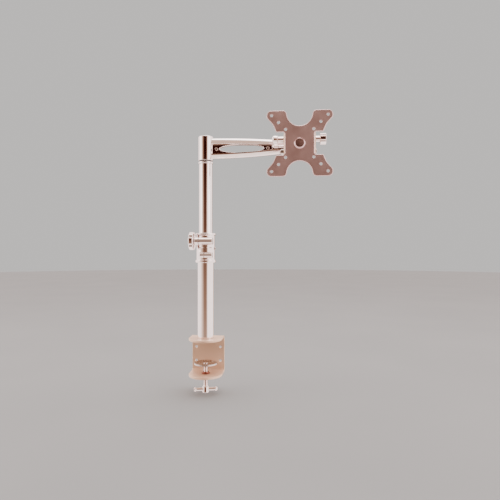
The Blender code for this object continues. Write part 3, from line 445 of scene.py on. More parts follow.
def hex_recess(*levels):
    """Return a cutter for a hex socket, from (height, size across flats) levels."""
    return loft("recess", [[(x, y, z) for x, y in hexagon(size)] for z, size in levels])


def soften(piece, width):
    """Round a piece's sharp edges."""
    bevel = piece.modifiers.new("edges", "BEVEL")
    bevel.width = width
    bevel.segments = 3
    bevel.limit_method = "ANGLE"
    bevel.angle_limit = math.radians(40)
    bevel.use_clamp_overlap = False
    bevel.miter_outer = "MITER_ARC"
    apply_modifiers(piece)


def finish_piece(piece, node):
    """Shade a piece, and let it stand for a CAD node, with its body, slot and material."""
    piece.data.shade_smooth()
    piece.data.set_sharp_from_angle(angle=SHARP_ANGLE)
    weights = piece.modifiers.new("normals", "WEIGHTED_NORMAL")
    weights.keep_sharp = True
    slot = SLOT_OF[node]
    piece.data.materials.clear()
    piece.data.materials.append(MATERIALS[slot])
    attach(piece, BODY_OF[node])
    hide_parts(node)


def centre_of(node):
    """Return the middle of a CAD node's box."""
    low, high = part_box(node)
    return (low + high) / 2


def span_of(node, axis):
    """Return a CAD node's size along an axis."""
    low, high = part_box(node)
    return (high - low)["XYZ".index(axis[-1])]


def helix_rod(name, radius, depth, pitch, bottom, top, steps=64, rows=10):
    """Return a threaded rod: a right-hand ridge whose height fades out at both ends."""
    shape = bmesh.new()
    count = int((top - bottom) / pitch * rows)
    rings = []
    for i in range(count + 1):
        z = bottom + (top - bottom) * i / count
        fade = min(1, (z - bottom) / pitch, (top - z) / pitch)
        ring = []
        for k in range(steps):
            phase = (z / pitch - k / steps) % 1
            valley = abs(2 * phase - 1)
            cut = depth * fade * min(1, max(0, 1.25 * valley - 0.125))
            angle = math.tau * k / steps
            ring.append(shape.verts.new(((radius - cut) * math.cos(angle),
                                         (radius - cut) * math.sin(angle), z)))
        rings.append(ring)
    for low, high in zip(rings, rings[1:]):
        for k in range(steps):
            j = (k + 1) % steps
            shape.faces.new((low[k], low[j], high[j], high[k]))
    shape.faces.new(list(reversed(rings[0])))
    shape.faces.new(rings[-1])
    return from_bmesh(name, shape)


def lobed(radius, depth):
    """Return a knob's outline: nearly flat-faced lobes between round flutes. A flute starts it."""
    half_pitch = math.pi / KNOB_LOBES
    half_face = half_pitch * 0.64
    steps = KNOB_LOBES * 48
    reaches = []
    for i in range(steps):
        angle = math.tau * i / steps
        off_lobe = abs((angle % (2 * half_pitch)) - half_pitch)
        if off_lobe < half_face:
            flat = math.cos(half_face) / math.cos(off_lobe)
            reach = radius * (0.2 + 0.8 * flat)
        else:
            fall = (off_lobe - half_face) / (half_pitch - half_face)
            reach = radius - depth * math.sin(math.pi / 2 * fall) ** 2
        reaches.append(reach)
    for _ in range(6):
        reaches = [(reaches[i - 1] + reach + reaches[(i + 1) % steps]) / 3
                   for i, reach in enumerate(reaches)]
    turns = [math.tau * i / steps for i in range(steps)]
    return [(reach * math.cos(a), reach * math.sin(a)) for a, reach in zip(turns, reaches)]


def knob(name, radius, depth, length, dome, edge):
    """Return a lobed knob along Z from 0 to its length, with a ringed, domed outer face."""
    outline = lobed(radius, depth)
    rim = length - dome
    body = pillow(name, outline, rim, edge, 6)
    put(body, (0, 0, rim / 2))
    face = radius - depth - 1 * MM
    shoulder = rim - 0.4 * MM
    rise = [(face * part, rim + dome * (1 - part ** 2.2)) for part in (i / 12 for i in range(1, 13))]
    cap = lathe("dome", [(0, rim + dome), *rise, (face, shoulder),
                         (face - 0.4 * MM, shoulder - 2 * MM), (0, shoulder - 2 * MM)])
    return boolean(body, cap, "UNION")


def washer(name, node, axis, spot, inner, edge):
    """Build a ring with a CAD ring's size and ends, round an axis, X or Z, through a spot."""
    along, across = (0, "Z") if axis == "X" else (2, "X")
    low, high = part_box(node)
    ring = tube(name, span_of(node, across) / 2, inner, low[along], high[along], edge)
    finish_piece(put(ring, spot, axis), node)


def socket_screw(name, node, axis, head_radius, head_height, socket, seat, shank):
    """Build a screw with a rounded head and a hex socket, whose head sits at a place."""
    tail = head_height - span_of(node, axis)
    profile = rounded([(0, head_height, 0), (head_radius, head_height, head_height * 0.35),
                       (head_radius, 0, 0.2 * MM), (shank, 0, 0), (shank, tail, 0.3 * MM),
                       (0, tail, 0)], 6)
    screw = lathe(name, profile, MEDIUM)
    boolean(screw, hex_recess((head_height * 0.4, socket), (head_height - 0.2 * MM, socket),
                              (head_height + 1 * MM, socket + 2.4 * MM)))
    finish_piece(put(screw, seat, axis), node)


def hex_nut(name, node, axis, flats, bore):
    """Build a nut with chamfered corners and a countersunk bore, in a CAD nut's place."""
    height = span_of(node, axis)
    half = height / 2
    body = prism(name, densified(hexagon(flats), flats / 12), -half, -half / 2, 0, half / 2, half)
    corner = flats / math.sqrt(3)
    face, reach = flats / 2 * 0.96, corner + 0.2 * MM
    slope = (corner - flats / 2 * 0.98) * 0.55
    cone = lathe("cone", [(0, half), (face, half), (reach, half - slope), (reach, -half + slope),
                          (face, -half), (0, -half)])
    boolean(body, cone, "INTERSECT")
    boolean(body, hole_tool(bore, height, 0.5 * MM, 64))
    finish_piece(put(body, centre_of(node), axis), node)


# ---------------------------------------------------------------- clamp

def build_clamp():
    """The bent bracket, its countersunk base screws and the flanged nut."""
    low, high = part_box("clamp_bracket")
    half_width = high.x
    sheet = high.z
    back, front = high.y, low.y - 2 * MM
    bend, wall_face = 3 * MM, back - sheet
    side = rounded([(front, low.z, 0), (back, low.z, bend + sheet), (back, high.z, bend + sheet),
                    (front, high.z, 0), (front, 0, 0), (wall_face, 0, bend),
                    (wall_face, low.z + sheet, bend), (front, low.z + sheet, 0)], 14)
    strip = loft("clamp_bracket_sheet", [[(x, y, z) for y, z in side]
                                         for x in (-half_width, half_width)])
    plan = [(half_width, back + 5 * MM), (-half_width, back + 5 * MM)]
    plan += [(-half_width * math.cos(a), low.y * math.sin(a))
             for a in (math.pi * i / 72 for i in range(73))]
    boolean(strip, prism("plan", plan, low.z - 20 * MM, high.z + 20 * MM), "INTERSECT")
    soften(strip, 0.8 * MM)
    for x in (-24 * MM, 24 * MM):
        for z in (-19 * MM, -46 * MM):
            wall_hole = hole_tool(2.5 * MM, sheet, 0.5 * MM)
            boolean(strip, put(wall_hole, (x, wall_face + sheet / 2, z), "Y"))
    boolean(strip, put(hole_tool(4.6 * MM, sheet), (0, 0, low.z + sheet / 2)))
    for node in ("base_screw_1", "base_screw_2", "base_screw_3"):
        spot = centre_of(node)
        sink = lathe("sink", [(0, 6 * MM), (2.3 * MM, 6 * MM), (2.3 * MM, 2.1 * MM),
                              (4.4 * MM, 0), (6.4 * MM, -2 * MM), (0, -2 * MM)], MEDIUM)
        boolean(strip, put(sink, (spot.x, spot.y, 0)))
        build_countersunk(node, spot)
    finish_piece(strip, "clamp_bracket")

    low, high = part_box("clamp_nut")
    nut = lathe("clamp_nut_flanged", rounded([
        (5.6 * MM, high.z, 0.4 * MM), (6.4 * MM, low.z + 1.3 * MM, 0.8 * MM),
        (high.x, low.z + 1 * MM, 0.4 * MM), (high.x, low.z, 0.2 * MM), (4.2 * MM, low.z, 0.2 * MM),
        (4.2 * MM, high.z, 0.2 * MM)], 5))
    finish_piece(nut, "clamp_nut")


def build_countersunk(node, spot):
    """A countersunk screw under the upper flange, with a hex socket."""
    low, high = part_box(node)
    screw = lathe(node + "_flush", rounded([
        (0, high.z, 0), (2 * MM, high.z, 0.4 * MM), (2 * MM, 2.2 * MM, 0),
        (3.8 * MM, low.z, 0.2 * MM), (0, low.z, 0)], 4), MEDIUM)
    boolean(screw, hex_recess((-1 * MM, 3 * MM), (low.z, 2.6 * MM), (1.4 * MM, 2.4 * MM)))
    finish_piece(put(screw, (spot.x, spot.y, 0)), node)


def build_clamp_screw():
    """The threaded screw with its drilled head and peened tip, the disc and the sliding bar."""
    low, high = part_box("clamp_screw")
    disc_low, disc_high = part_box("pressure_disc")
    radius, pitch = 4 * MM, 1.25 * MM
    head_radius = high.x
    head_top = low.z + 12 * MM
    neck_top = disc_low.z - 1.5 * MM
    screw = helix_rod("clamp_screw_threaded", radius, 0.72 * MM, pitch, head_top + 1 * MM, neck_top)
    head = lathe("head", rounded([
        (0, head_top + 1.2 * MM, 0), (radius + 0.2 * MM, head_top + 1.2 * MM, 0.2 * MM),
        (radius + 0.6 * MM, head_top, 0.4 * MM), (head_radius, head_top - 1.2 * MM, 0.8 * MM),
        (head_radius, low.z, 0.9 * MM), (0, low.z, 0)], 6))
    boolean(screw, head, "UNION")
    floor = disc_low.z + 1.4 * MM
    tip = lathe("tip", rounded([
        (0, high.z, 0), (4 * MM, high.z, 0.9 * MM), (4 * MM, floor + GAP, 0.1 * MM),
        (2.5 * MM, floor + GAP, 0), (2.5 * MM, neck_top + 0.6 * MM, 0.3 * MM),
        (radius - 0.5 * MM, neck_top + 0.2 * MM, 0), (radius - 0.5 * MM, neck_top - 1 * MM, 0),
        (0, neck_top - 1 * MM, 0)], 5))
    boolean(screw, tip, "UNION")

    bar_z = centre_of("tommy_bar").z
    bar_radius = span_of("tommy_bar", "Z") / 2
    joint = next(j for j in frame["joints"] if j["name"] == "tommy_bar_slide")
    along = Vector(joint["axis"])
    yaw = math.atan2(along.y, along.x)
    lie = Euler((0, math.pi / 2, yaw))
    opposite = Euler((0, -math.pi / 2, yaw))
    bore_radius = bar_radius + 0.2 * MM
    bore = lathe("bore", [(0, 12 * MM), (8 * MM, 12 * MM), (bore_radius, 4.8 * MM),
                          (bore_radius, -4.8 * MM), (8 * MM, -12 * MM), (0, -12 * MM)])
    boolean(screw, put(bore, (0, 0, bar_z), lie))
    finish_piece(screw, "clamp_screw")

    # The box round a slanting round bar sticks out past its end by part of its radius.
    box_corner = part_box("tommy_bar")[1]
    half = box_corner.x * along.x + box_corner.y * along.y - 2 * bar_radius * abs(along.x * along.y)
    middle = Vector((0, 0, bar_z))
    finish_piece(put(rod("tommy_bar_rod", bar_radius, -half, half, 0.2 * MM), middle, lie), "tommy_bar")
    cap_radius = span_of("bar_cap_right", "Z") / 2
    for node, turn, sign in (("bar_cap_right", lie, 1), ("bar_cap_left", opposite, -1)):
        cap = lathe(node + "_button", rounded([
            (0, 4.5 * MM, 0), (cap_radius * 0.85, 4.3 * MM, 1.2 * MM),
            (cap_radius, 1.6 * MM, 1.2 * MM), (bar_radius + 0.1 * MM, 0, 0.3 * MM), (0, 0, 0)], 6),
            MEDIUM)
        finish_piece(put(cap, middle + sign * along * (half + GAP), turn), node)

    rim, bottom, top = disc_high.x, disc_low.z, disc_high.z
    disc = lathe("pressure_disc_dish", rounded([
        (rim - 1.5 * MM, top, 0.4 * MM), (rim, top, 0.5 * MM), (rim, bottom, 0.7 * MM),
        (8.5 * MM, bottom, 0.6 * MM), (7 * MM, bottom + 0.15 * MM, 0.6 * MM),
        (3.1 * MM, bottom + 0.15 * MM, 0.1 * MM), (3.1 * MM, floor, 0.1 * MM),
        (7.2 * MM, floor, 0.5 * MM), (8.8 * MM, floor - 0.15 * MM, 0.5 * MM),
        (rim - 3.8 * MM, floor - 0.15 * MM, 0.8 * MM)], 6))
    finish_piece(disc, "pressure_disc")


# ---------------------------------------------------------------- pole

def build_pole():
    """The two tubes and the ring that the arm turns on."""
    wall = 1.5 * MM
    for node in ("lower_tube", "upper_tube"):
        low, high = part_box(node)
        pipe = tube(node + "_chrome", high.x, high.x - wall, low.z, high.z, 0.5 * MM)
        finish_piece(pipe, node)

    low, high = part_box("pole_spigot")
    ring_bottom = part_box("upper_tube")[1].z + GAP
    ring_top = ring_bottom + 3.7 * MM
    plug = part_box("upper_tube")[1].x - wall - GAP
    spigot = lathe("pole_spigot_ring", rounded([
        (0, high.z, 0), (9 * MM, high.z, 0.8 * MM), (9 * MM, ring_top, 0.2 * MM),
        (high.x, ring_top, 0.9 * MM), (high.x, ring_bottom, 0.9 * MM), (plug, ring_bottom, 0.1 * MM),
        (plug, low.z, 0.8 * MM), (0, low.z, 0)], 6))
    boolean(spigot, rod("thread", 3.3 * MM, high.z - 14 * MM, high.z + 5 * MM))
    finish_piece(spigot, "pole_spigot")


def build_collar():
    """The split height collar with its rims, knob barrel and pinch barrel."""
    low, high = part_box("collar")
    rim = high.x
    body = rim - 2 * MM
    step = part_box("lower_tube")[1].z + 0.5 * MM
    top, bottom = high.z, low.z
    sleeve = lathe("collar_casting", rounded([
        (0, top, 0), (rim, top, 1.1 * MM), (rim, top - 3.3 * MM, 1.1 * MM),
        (body, top - 4.4 * MM, 1 * MM), (body, bottom + 6 * MM, 1.2 * MM),
        (rim, bottom + 4.6 * MM, 1.4 * MM), (rim, bottom, 1.4 * MM), (0, bottom, 0)], 7))
    stud_y, stud_z = centre_of("knob_nut").yz
    pinch_y, pinch_z = centre_of("collar_bolt").yz
    barrels = ((6.9 * MM, -17.5 * MM, 17 * MM, stud_y, stud_z, 3.4 * MM),
               (5.5 * MM, -7.5 * MM, 16.4 * MM, pinch_y, pinch_z, 2.3 * MM))
    for radius, left, right, y, z, _ in barrels:
        barrel = put(rod("barrel", radius, left, right, 0.9 * MM), (0, y, z), "X")
        boolean(sleeve, barrel, "UNION")
    upper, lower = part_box("upper_tube")[1].x + GAP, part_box("lower_tube")[1].x + GAP
    bore = lathe("bore", [(0, top + 5 * MM), (upper + 5 * MM, top + 4.4 * MM),
                          (upper, top - 0.6 * MM), (upper, step), (lower, step),
                          (lower, bottom + 0.6 * MM), (lower + 5 * MM, bottom - 4.4 * MM),
                          (0, bottom - 5 * MM)])
    boolean(sleeve, bore)
    for *_, y, z, hole in barrels:
        boolean(sleeve, put(rod("bolt_hole", hole, -60 * MM, 60 * MM), (0, y, z), "X"))
    boolean(sleeve, put(rod("head_sink", 3.9 * MM, 11.4 * MM, 40 * MM), (0, pinch_y, pinch_z), "X"))
    for flats, start, end, y, z in ((10.6 * MM, 14.5 * MM, 30 * MM, stud_y, stud_z),
                                    (8.6 * MM, -30 * MM, -5 * MM, pinch_y, pinch_z)):
        boolean(sleeve, put(prism("pocket", hexagon(flats), start, end), (0, y, z), "X"))
    upper_x, lower_x, half = -9.7 * MM, 0.9 * MM, 0.6 * MM
    slits = (((upper_x - half, -40 * MM, step), (upper_x + half, -8 * MM, top + 5 * MM)),
             ((lower_x - half, -40 * MM, bottom - 5 * MM), (lower_x + half, -10 * MM, step)),
             ((-11.5 * MM, -30 * MM, step - half), (13.5 * MM, -4 * MM, step + half)))
    for corner, far_corner in slits:
        boolean(sleeve, box_between(corner, far_corner))
    finish_piece(sleeve, "collar")

    socket_screw("collar_pinch_screw", "collar_bolt", "X", 3.5 * MM, 4 * MM, 3 * MM,
                 (11.7 * MM, pinch_y, pinch_z), 2 * MM)
    low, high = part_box("collar_set_screw")
    head_height = 1.4 * MM
    socket_screw("collar_side_screw", "collar_set_screw", "X", 2.9 * MM, head_height, 2.2 * MM,
                 (high.x - head_height, 0, (low.z + high.z) / 2), 1.5 * MM)
    hex_nut("collar_pinch_nut", "collar_bolt_nut", "X", 7.8 * MM, 2.3 * MM)
    hex_nut("collar_knob_nut", "knob_nut", "X", 9.8 * MM, 3.4 * MM)


def build_height_knob():
    """The star knob on the collar's left, and its stud."""
    low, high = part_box("height_knob")
    handle = knob("height_knob_star", 17.2 * MM, 2.4 * MM, high.x - low.x, 2.5 * MM, 1.6 * MM)
    spot = centre_of("height_knob_stud")
    boolean(handle, rod("stud_hole", 3.3 * MM, -5 * MM, 6.5 * MM))
    finish_piece(put(handle, (high.x, spot.y, spot.z), "-X"), "height_knob")
    low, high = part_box("height_knob_stud")
    stud = helix_rod("height_knob_thread", 3 * MM, 0.5 * MM, 1 * MM, low.x, high.x, 48, 8)
    finish_piece(put(stud, (0, spot.y, spot.z), "X"), "height_knob_stud")


# ---------------------------------------------------------------- arm

BEAM_END = 164.5 * MM   # where the beam stops and the eye's neck starts
BEAM_HALF = 9 * MM      # half the beam's thickness
WEB_HALF = 3 * MM       # half the web's thickness
BEAM_TOP, BEAM_FALL = 0.3855, 0.289       # the top edge falls away as a parabola
BEAM_BOTTOM, BEAM_RISE = 0.3466, 0.0092   # the bottom edge rises towards the eye


def arm_top(x):
    """Return the height of the arm's top edge at a distance from the pole."""
    return BEAM_TOP - BEAM_FALL * x ** 2


def arm_bottom(x):
    """Return the height of the arm's bottom edge at a distance from the pole."""
    return BEAM_BOTTOM + BEAM_RISE * (x / BEAM_END) ** 2.3


def arm_section(x):
    """Return a cross-section of the arm: an oval with full corners, rounder towards the head."""
    top, bottom = arm_top(x), arm_bottom(x)
    part = x / BEAM_END
    widest = (top + bottom) / 2 - 6 * MM * part ** 2
    power = 2 / (2.4 - 0.4 * part)
    points = []
    for i in range(MEDIUM):
        angle = math.tau * (i + 0.5) / MEDIUM
        c, s = math.cos(angle), math.sin(angle)
        reach = top - widest if s > 0 else widest - bottom
        points.append((x, BEAM_HALF * math.copysign(abs(c) ** power, c),
                       widest + reach * math.copysign(abs(s) ** power, s)))
    return points


def flared_pocket(outline, floor, surface, flare):
    """Return a cutter that is wider at the surface, for a pocket with a soft lip."""
    sections = [(floor, 0.0), (surface - flare * 1.6, 0.0), (surface - flare * 0.7, -flare * 0.25),
                (surface, -flare), (surface + 8 * MM, -flare - 1 * MM)]
    loops = [[(x, y, h) for x, y in (inset(outline, pull) if pull else outline)]
             for h, pull in sections]
    return loft("pocket", loops)


def build_arm():
    """The arm casting: hub, crowned rails, thin web with its oval window, and eye."""
    low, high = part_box("arm")
    eye_x = centre_of("swivel_bolt").x
    hub_bottom, hub_top = low.z, high.z
    hub_radius = -low.x
    eye_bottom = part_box("swivel_washer_lower")[1].z + GAP
    eye_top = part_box("swivel_washer_upper")[0].z - GAP
    eye_z, eye_height = (eye_bottom + eye_top) / 2, eye_top - eye_bottom
    casting = loft("arm_casting", [arm_section(BEAM_END * i / 48) for i in range(49)])
    neck = pillow("neck", [(-16 * MM, -8 * MM), (0, -8 * MM), (0, 8 * MM), (-16 * MM, 8 * MM)],
                  eye_height, 0.8 * MM)
    boolean(casting, put(neck, (eye_x, 0, eye_z)), "UNION")
    boolean(casting, put(rod("eye", 12 * MM, eye_bottom, eye_top, 0.8 * MM), (eye_x, 0, 0)), "UNION")

    # The pockets start inside the hub, which is joined after them, so that its round side ends them.
    start, end = 9 * MM, 127.5 * MM
    inside = [start + (end - start) * i / 24 for i in range(1, 24)]
    lower_rail = 9 * MM
    lower_edge = [(x, arm_bottom(x) + lower_rail, 0) for x in inside]
    upper_edge = [(x, arm_top(x) - 12.2 * MM + 0.014 * x, 0) for x in reversed(inside)]
    outline = rounded([(start, arm_bottom(start) + lower_rail, 3 * MM), *lower_edge,
                       (end, arm_bottom(end) + lower_rail, 2.5 * MM),
                       (end, arm_top(end) - 10.4 * MM, 2.5 * MM), *upper_edge,
                       (start, arm_top(start) - 12 * MM, 3 * MM)], 8)
    # Seen from the front, the slab's own z points towards the user.
    for axis, flip in (("-Y", 1), ("Y", -1)):
        loop = [(x, flip * z) for x, z in outline]
        if flip < 0:
            loop.reverse()
        pocket = flared_pocket(loop, WEB_HALF, 8.6 * MM, 0.9 * MM)
        boolean(casting, put(pocket, (0, 0, 0), axis))

    centre_x, centre_z, half_length, half_height = 69.5 * MM, 364.9 * MM, 42 * MM, 7.3 * MM
    oval = [(centre_x + half_length * math.cos(a), centre_z + half_height * math.sin(a))
            for a in (math.tau * i / FINE for i in range(FINE))]
    lip = [(-WEB_HALF - 2 * MM, -2.9 * MM), (-WEB_HALF, -0.9 * MM), (-WEB_HALF + 0.5 * MM, -0.25 * MM),
           (-WEB_HALF + 1.1 * MM, 0)]
    levels = lip + [(-h, pull) for h, pull in reversed(lip)]
    window = loft("window", [[(x, y, h) for x, y in (inset(oval, pull) if pull else oval)]
                             for h, pull in levels])
    boolean(casting, put(window, (0, 0, 0), "-Y"))
    hub = lathe("hub", rounded([(0, hub_top, 0), (hub_radius, hub_top, 1.4 * MM),
                                (hub_radius, hub_bottom, 0.7 * MM), (0, hub_bottom, 0)], 7))
    boolean(casting, hub, "UNION")

    liner, lip_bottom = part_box("hub_liner")[1].x + GAP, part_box("hub_liner")[1].z + GAP
    lip_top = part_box("retaining_washer")[0].z - 0.9 * MM
    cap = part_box("hub_cap")[1].x + GAP
    bore = lathe("hub_bore", [
        (0, hub_top + 5 * MM), (cap + 4.9 * MM, hub_top + 5 * MM), (cap, hub_top - 0.2 * MM),
        (cap, lip_top), (9.5 * MM, lip_top), (9.5 * MM, lip_bottom), (liner, lip_bottom),
        (liner, hub_bottom + 0.3 * MM), (liner + 5 * MM, hub_bottom - 5 * MM), (0, hub_bottom - 5 * MM)])
    boolean(casting, bore)
    boolean(casting, put(hole_tool(5.4 * MM, eye_height, 0.4 * MM), (eye_x, 0, eye_z)))
    for node in ("web_screw_1", "web_screw_2"):
        spot = centre_of(node)
        boolean(casting, put(rod("screw_hole", 1.7 * MM, -20 * MM, 20 * MM), spot, "-Y"))
    finish_piece(casting, "arm")

    low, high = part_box("hub_cap")
    dome = lathe("hub_cap_dome", [(0, high.z), *[(high.x * t, high.z - 1.2 * MM * t ** 2.5)
                                                for t in (0.2, 0.4, 0.6, 0.75, 0.88, 0.96, 1.0)],
                                  (high.x, low.z), (0, low.z)])
    finish_piece(dome, "hub_cap")
    for node in ("web_screw_1", "web_screw_2"):
        spot = centre_of(node)
        socket_screw(node + "_button", node, "-Y", 3 * MM, 2.2 * MM, 2.5 * MM,
                     (spot.x, -WEB_HALF - GAP, spot.z), 1.5 * MM)
    low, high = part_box("arm_washer")
    finish_piece(tube("arm_washer_ring", high.x, 9.3 * MM, low.z, high.z, 0.3 * MM), "arm_washer")


# ---------------------------------------------------------------- head

TILT_BORE = 4.3 * MM   # the holes round the tilt bolt


def build_head():
    """The swivelling block, its fork, the swivel bolt and the nylon washers."""
    low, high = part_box("head_block")
    centre = centre_of("head_block")
    tilt = centre_of("tilt_bolt")
    half = (high.x - low.x) / 2
    eye_x = centre_of("swivel_bolt").x
    upper = (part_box("swivel_washer_upper")[1].z + GAP, high.z)
    lower = (low.z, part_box("swivel_washer_lower")[0].z - GAP)
    web_front, web_back = tilt.y + 8.6 * MM, tilt.y + 12.8 * MM

    axle = (centre.x, tilt.y, tilt.z)
    block = put(rod("head_block_casting", 7 * MM, -half, half, 0.7 * MM), axle, "X")
    web = [(-half + 1 * MM, low.z), (half - 1 * MM, low.z), (half - 1 * MM, high.z),
           (-half + 1 * MM, high.z)]
    wall = pillow("web", rounded([(x, z, 3 * MM) for x, z in web], 8), web_back - web_front, 0.7 * MM)
    boolean(block, put(wall, (centre.x, (web_front + web_back) / 2, 0), "-Y"), "UNION")
    for side in (-1, 1):
        edges = sorted((side * 17 * MM, side * (half - 1.05 * MM)))
        front, back = tilt.y - 3.5 * MM, web_front + 1 * MM
        bottom, top = tilt.z - 12 * MM, tilt.z + 4.5 * MM
        corners = [(front, bottom, 2 * MM), (back, bottom, 0), (back, top, 0), (front, top, 2 * MM)]
        outline = [(-z + tilt.z, y) for y, z in rounded(corners, 6)]
        cheek = pillow("cheek", outline[::-1], edges[1] - edges[0], 0.6 * MM)
        boolean(block, put(cheek, (centre.x + sum(edges) / 2, 0, tilt.z), "X"), "UNION")
    for bottom, top in (upper, lower):
        tongue = [(-13 * MM, web_front + 1.5 * MM), (13 * MM, web_front + 1.5 * MM),
                  *arc((0, 0), 13 * MM, 0, 180, 40)]
        plate = pillow("tongue", densified(tongue, 2 * MM), top - bottom, 0.8 * MM)
        boolean(block, put(plate, (eye_x, 0, (top + bottom) / 2)), "UNION")
    saddle = pillow("saddle", [(-12 * MM, tilt.y), (12 * MM, tilt.y), (12 * MM, web_front + 1 * MM),
                               (-12 * MM, web_front + 1 * MM)], upper[1] - upper[0], 0.8 * MM)
    boolean(block, put(saddle, (eye_x, 0, sum(upper) / 2)), "UNION")
    swivel_bore = 5.3 * MM
    boolean(block, put(rod("bore", TILT_BORE, -60 * MM, 60 * MM), axle, "X"))
    boolean(block, put(rod("bore", swivel_bore, low.z - 10 * MM, high.z + 10 * MM), (eye_x, 0, 0)))
    finish_piece(block, "head_block")

    head_height = 4.5 * MM
    seat = (eye_x, 0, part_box("swivel_bolt")[1].z - head_height)
    socket_screw("swivel_cap_screw", "swivel_bolt", "Z", 8 * MM, head_height, 6 * MM, seat, 5 * MM)
    hex_nut("swivel_hex_nut", "swivel_nut", "Z", 15 * MM, swivel_bore)
    for node in ("swivel_washer_lower", "swivel_washer_upper"):
        washer(node + "_ring", node, "Z", (eye_x, 0, 0), swivel_bore, 0.25 * MM)
    for node in ("friction_washer_left", "friction_washer_right"):
        washer(node + "_ring", node, "X", (0, tilt.y, tilt.z), TILT_BORE, 0.2 * MM)


def build_tilt_axle():
    """The cap nut, the two spacers and the knob that show beside the plate."""
    tilt = centre_of("tilt_bolt")
    for node in ("tilt_spacer_left", "tilt_spacer_right"):
        washer(node + "_sleeve", node, "X", (0, tilt.y, tilt.z), TILT_BORE, 0.6 * MM)
    length, radius = span_of("tilt_cap_nut", "X"), span_of("tilt_cap_nut", "Z") / 2
    cap = lathe("tilt_cap_nut_round", rounded([
        (0, length, 0), (radius * 0.62, length, 1.2 * MM), (radius, length - 2.6 * MM, 1.6 * MM),
        (radius, 0, 0.7 * MM), (0, 0, 0)], 8))
    groove = tube("groove", radius + 2 * MM, radius - 0.5 * MM, 1.6 * MM, 2.3 * MM, 0.1 * MM)
    boolean(cap, groove)
    boolean(cap, rod("thread", TILT_BORE, -5 * MM, length - 3.6 * MM))
    inner_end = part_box("tilt_cap_nut")[1].x
    finish_piece(put(cap, (inner_end, tilt.y, tilt.z), "-X"), "tilt_cap_nut")

    handle = knob("tilt_knob_star", 10.3 * MM, 1.4 * MM, span_of("tilt_knob", "X"), 1.2 * MM, 0.6 * MM)
    boolean(handle, rod("stud_hole", TILT_BORE, -5 * MM, 8 * MM))
    inner_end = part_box("tilt_knob")[0].x
    finish_piece(put(handle, (inner_end, tilt.y, tilt.z), "X"), "tilt_knob")


def build_tilt_bracket():
    """The U-shaped bracket, its stop bolt and nut, and the plate's pivot with its nut."""
    low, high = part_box("tilt_bracket")
    centre = centre_of("tilt_bracket")
    tilt = centre_of("tilt_bolt")
    stop = centre_of("stop_bolt")
    half = (high.x - low.x) / 2
    sheet, bend = 2.5 * MM, 4.5 * MM
    front, back = low.y, 10 * MM
    inner = half - sheet
    u_shape = rounded([(-half, front, bend), (half, front, bend), (half, back, 0), (inner, back, 0),
                       (inner, front + sheet, bend - sheet), (-inner, front + sheet, bend - sheet),
                       (-inner, back, 0), (-half, back, 0)], 12)
    strap = put(prism("tilt_bracket_sheet", u_shape, low.z, high.z), (centre.x, 0, 0))
    nose, stop_nose = 8.2 * MM, 6.5 * MM
    drop = tilt.z - stop.z
    lead = front - tilt.y - 2 * MM
    ear = [(lead, nose), *arc((0, 0), nose, 90, -5, 24), *arc((0, -drop), stop_nose, -5, -90, 20),
           (lead, -drop - stop_nose)]
    template = loft("ear", [[(x, tilt.y + y, tilt.z + z) for y, z in ear]
                            for x in (low.x - 5 * MM, high.x + 5 * MM)])
    boolean(strap, template, "INTERSECT")
    soften(strap, 0.45 * MM)
    for y, z, radius in ((tilt.y, tilt.z, TILT_BORE), (stop.y, stop.z, 3.3 * MM)):
        boolean(strap, put(rod("hole", radius, -60 * MM, 60 * MM), (centre.x, y, z), "X"))
    pivot = centre_of("plate_pivot")
    boolean(strap, put(rod("hole", 5.3 * MM, -8 * MM, 8 * MM), (pivot.x, front, pivot.z), "Y"))
    finish_piece(strap, "tilt_bracket")

    socket_screw("stop_cap_screw", "stop_bolt", "X", 4.7 * MM, 2.6 * MM, 3.5 * MM,
                 (centre.x + half + GAP, stop.y, stop.z), 3 * MM)
    hex_nut("stop_hex_nut", "stop_bolt_nut", "X", 9.6 * MM, 3.3 * MM)
    hex_nut("plate_pivot_hex_nut", "plate_pivot_nut", "-Y", 14 * MM, 5.3 * MM)

    low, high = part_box("plate_pivot")
    head_height = 3.2 * MM
    face_y = low.y + head_height
    tail = face_y - high.y
    button = lathe("plate_pivot_button", rounded([
        (0, head_height, 0), (7.9 * MM, head_height, 0.5 * MM), (9.9 * MM, 1.1 * MM, 0.9 * MM),
        (10.4 * MM, 0, 0.15 * MM), (5 * MM, 0, 0.1 * MM), (5 * MM, tail, 0.4 * MM), (0, tail, 0)], 7))
    finish_piece(put(button, (pivot.x, face_y, pivot.z), "-Y"), "plate_pivot")


# ---------------------------------------------------------------- plate

def plate_outline():
    """Return the plate's outline, as (x, z) from its centre, anticlockwise."""
    half, waist_x, waist_z = 59 * MM, 26.5 * MM, 20.4 * MM
    notch, notch_z, fillet = 22.8 * MM, 54.2 * MM, 7.5 * MM
    fillet_z = half - fillet
    fillet_x = math.sqrt((notch + fillet) ** 2 - (notch_z - fillet_z) ** 2)
    turn = -math.degrees(math.asin((notch_z - fillet_z) / (notch + fillet)))
    quarter = rounded([(waist_x, 0, 0), (waist_x, waist_z, 3.5 * MM), (42 * MM, waist_z, 1.8 * MM),
                       (47.6 * MM, 34 * MM, 25 * MM), (half, 46.5 * MM, 7 * MM), (half, half, 8.5 * MM),
                       (fillet_x, half, 0)], 10)
    quarter += arc((fillet_x, fillet_z), fillet, 90, 180 + turn, 14)[1:-1]
    quarter += arc((0, notch_z), notch, turn, -90, 28)
    top = quarter[1:] + [(-x, z) for x, z in reversed(quarter[1:-1])]
    bottom = [(-x, -z) for x, z in top]
    return densified(top + bottom, 2.5 * MM)


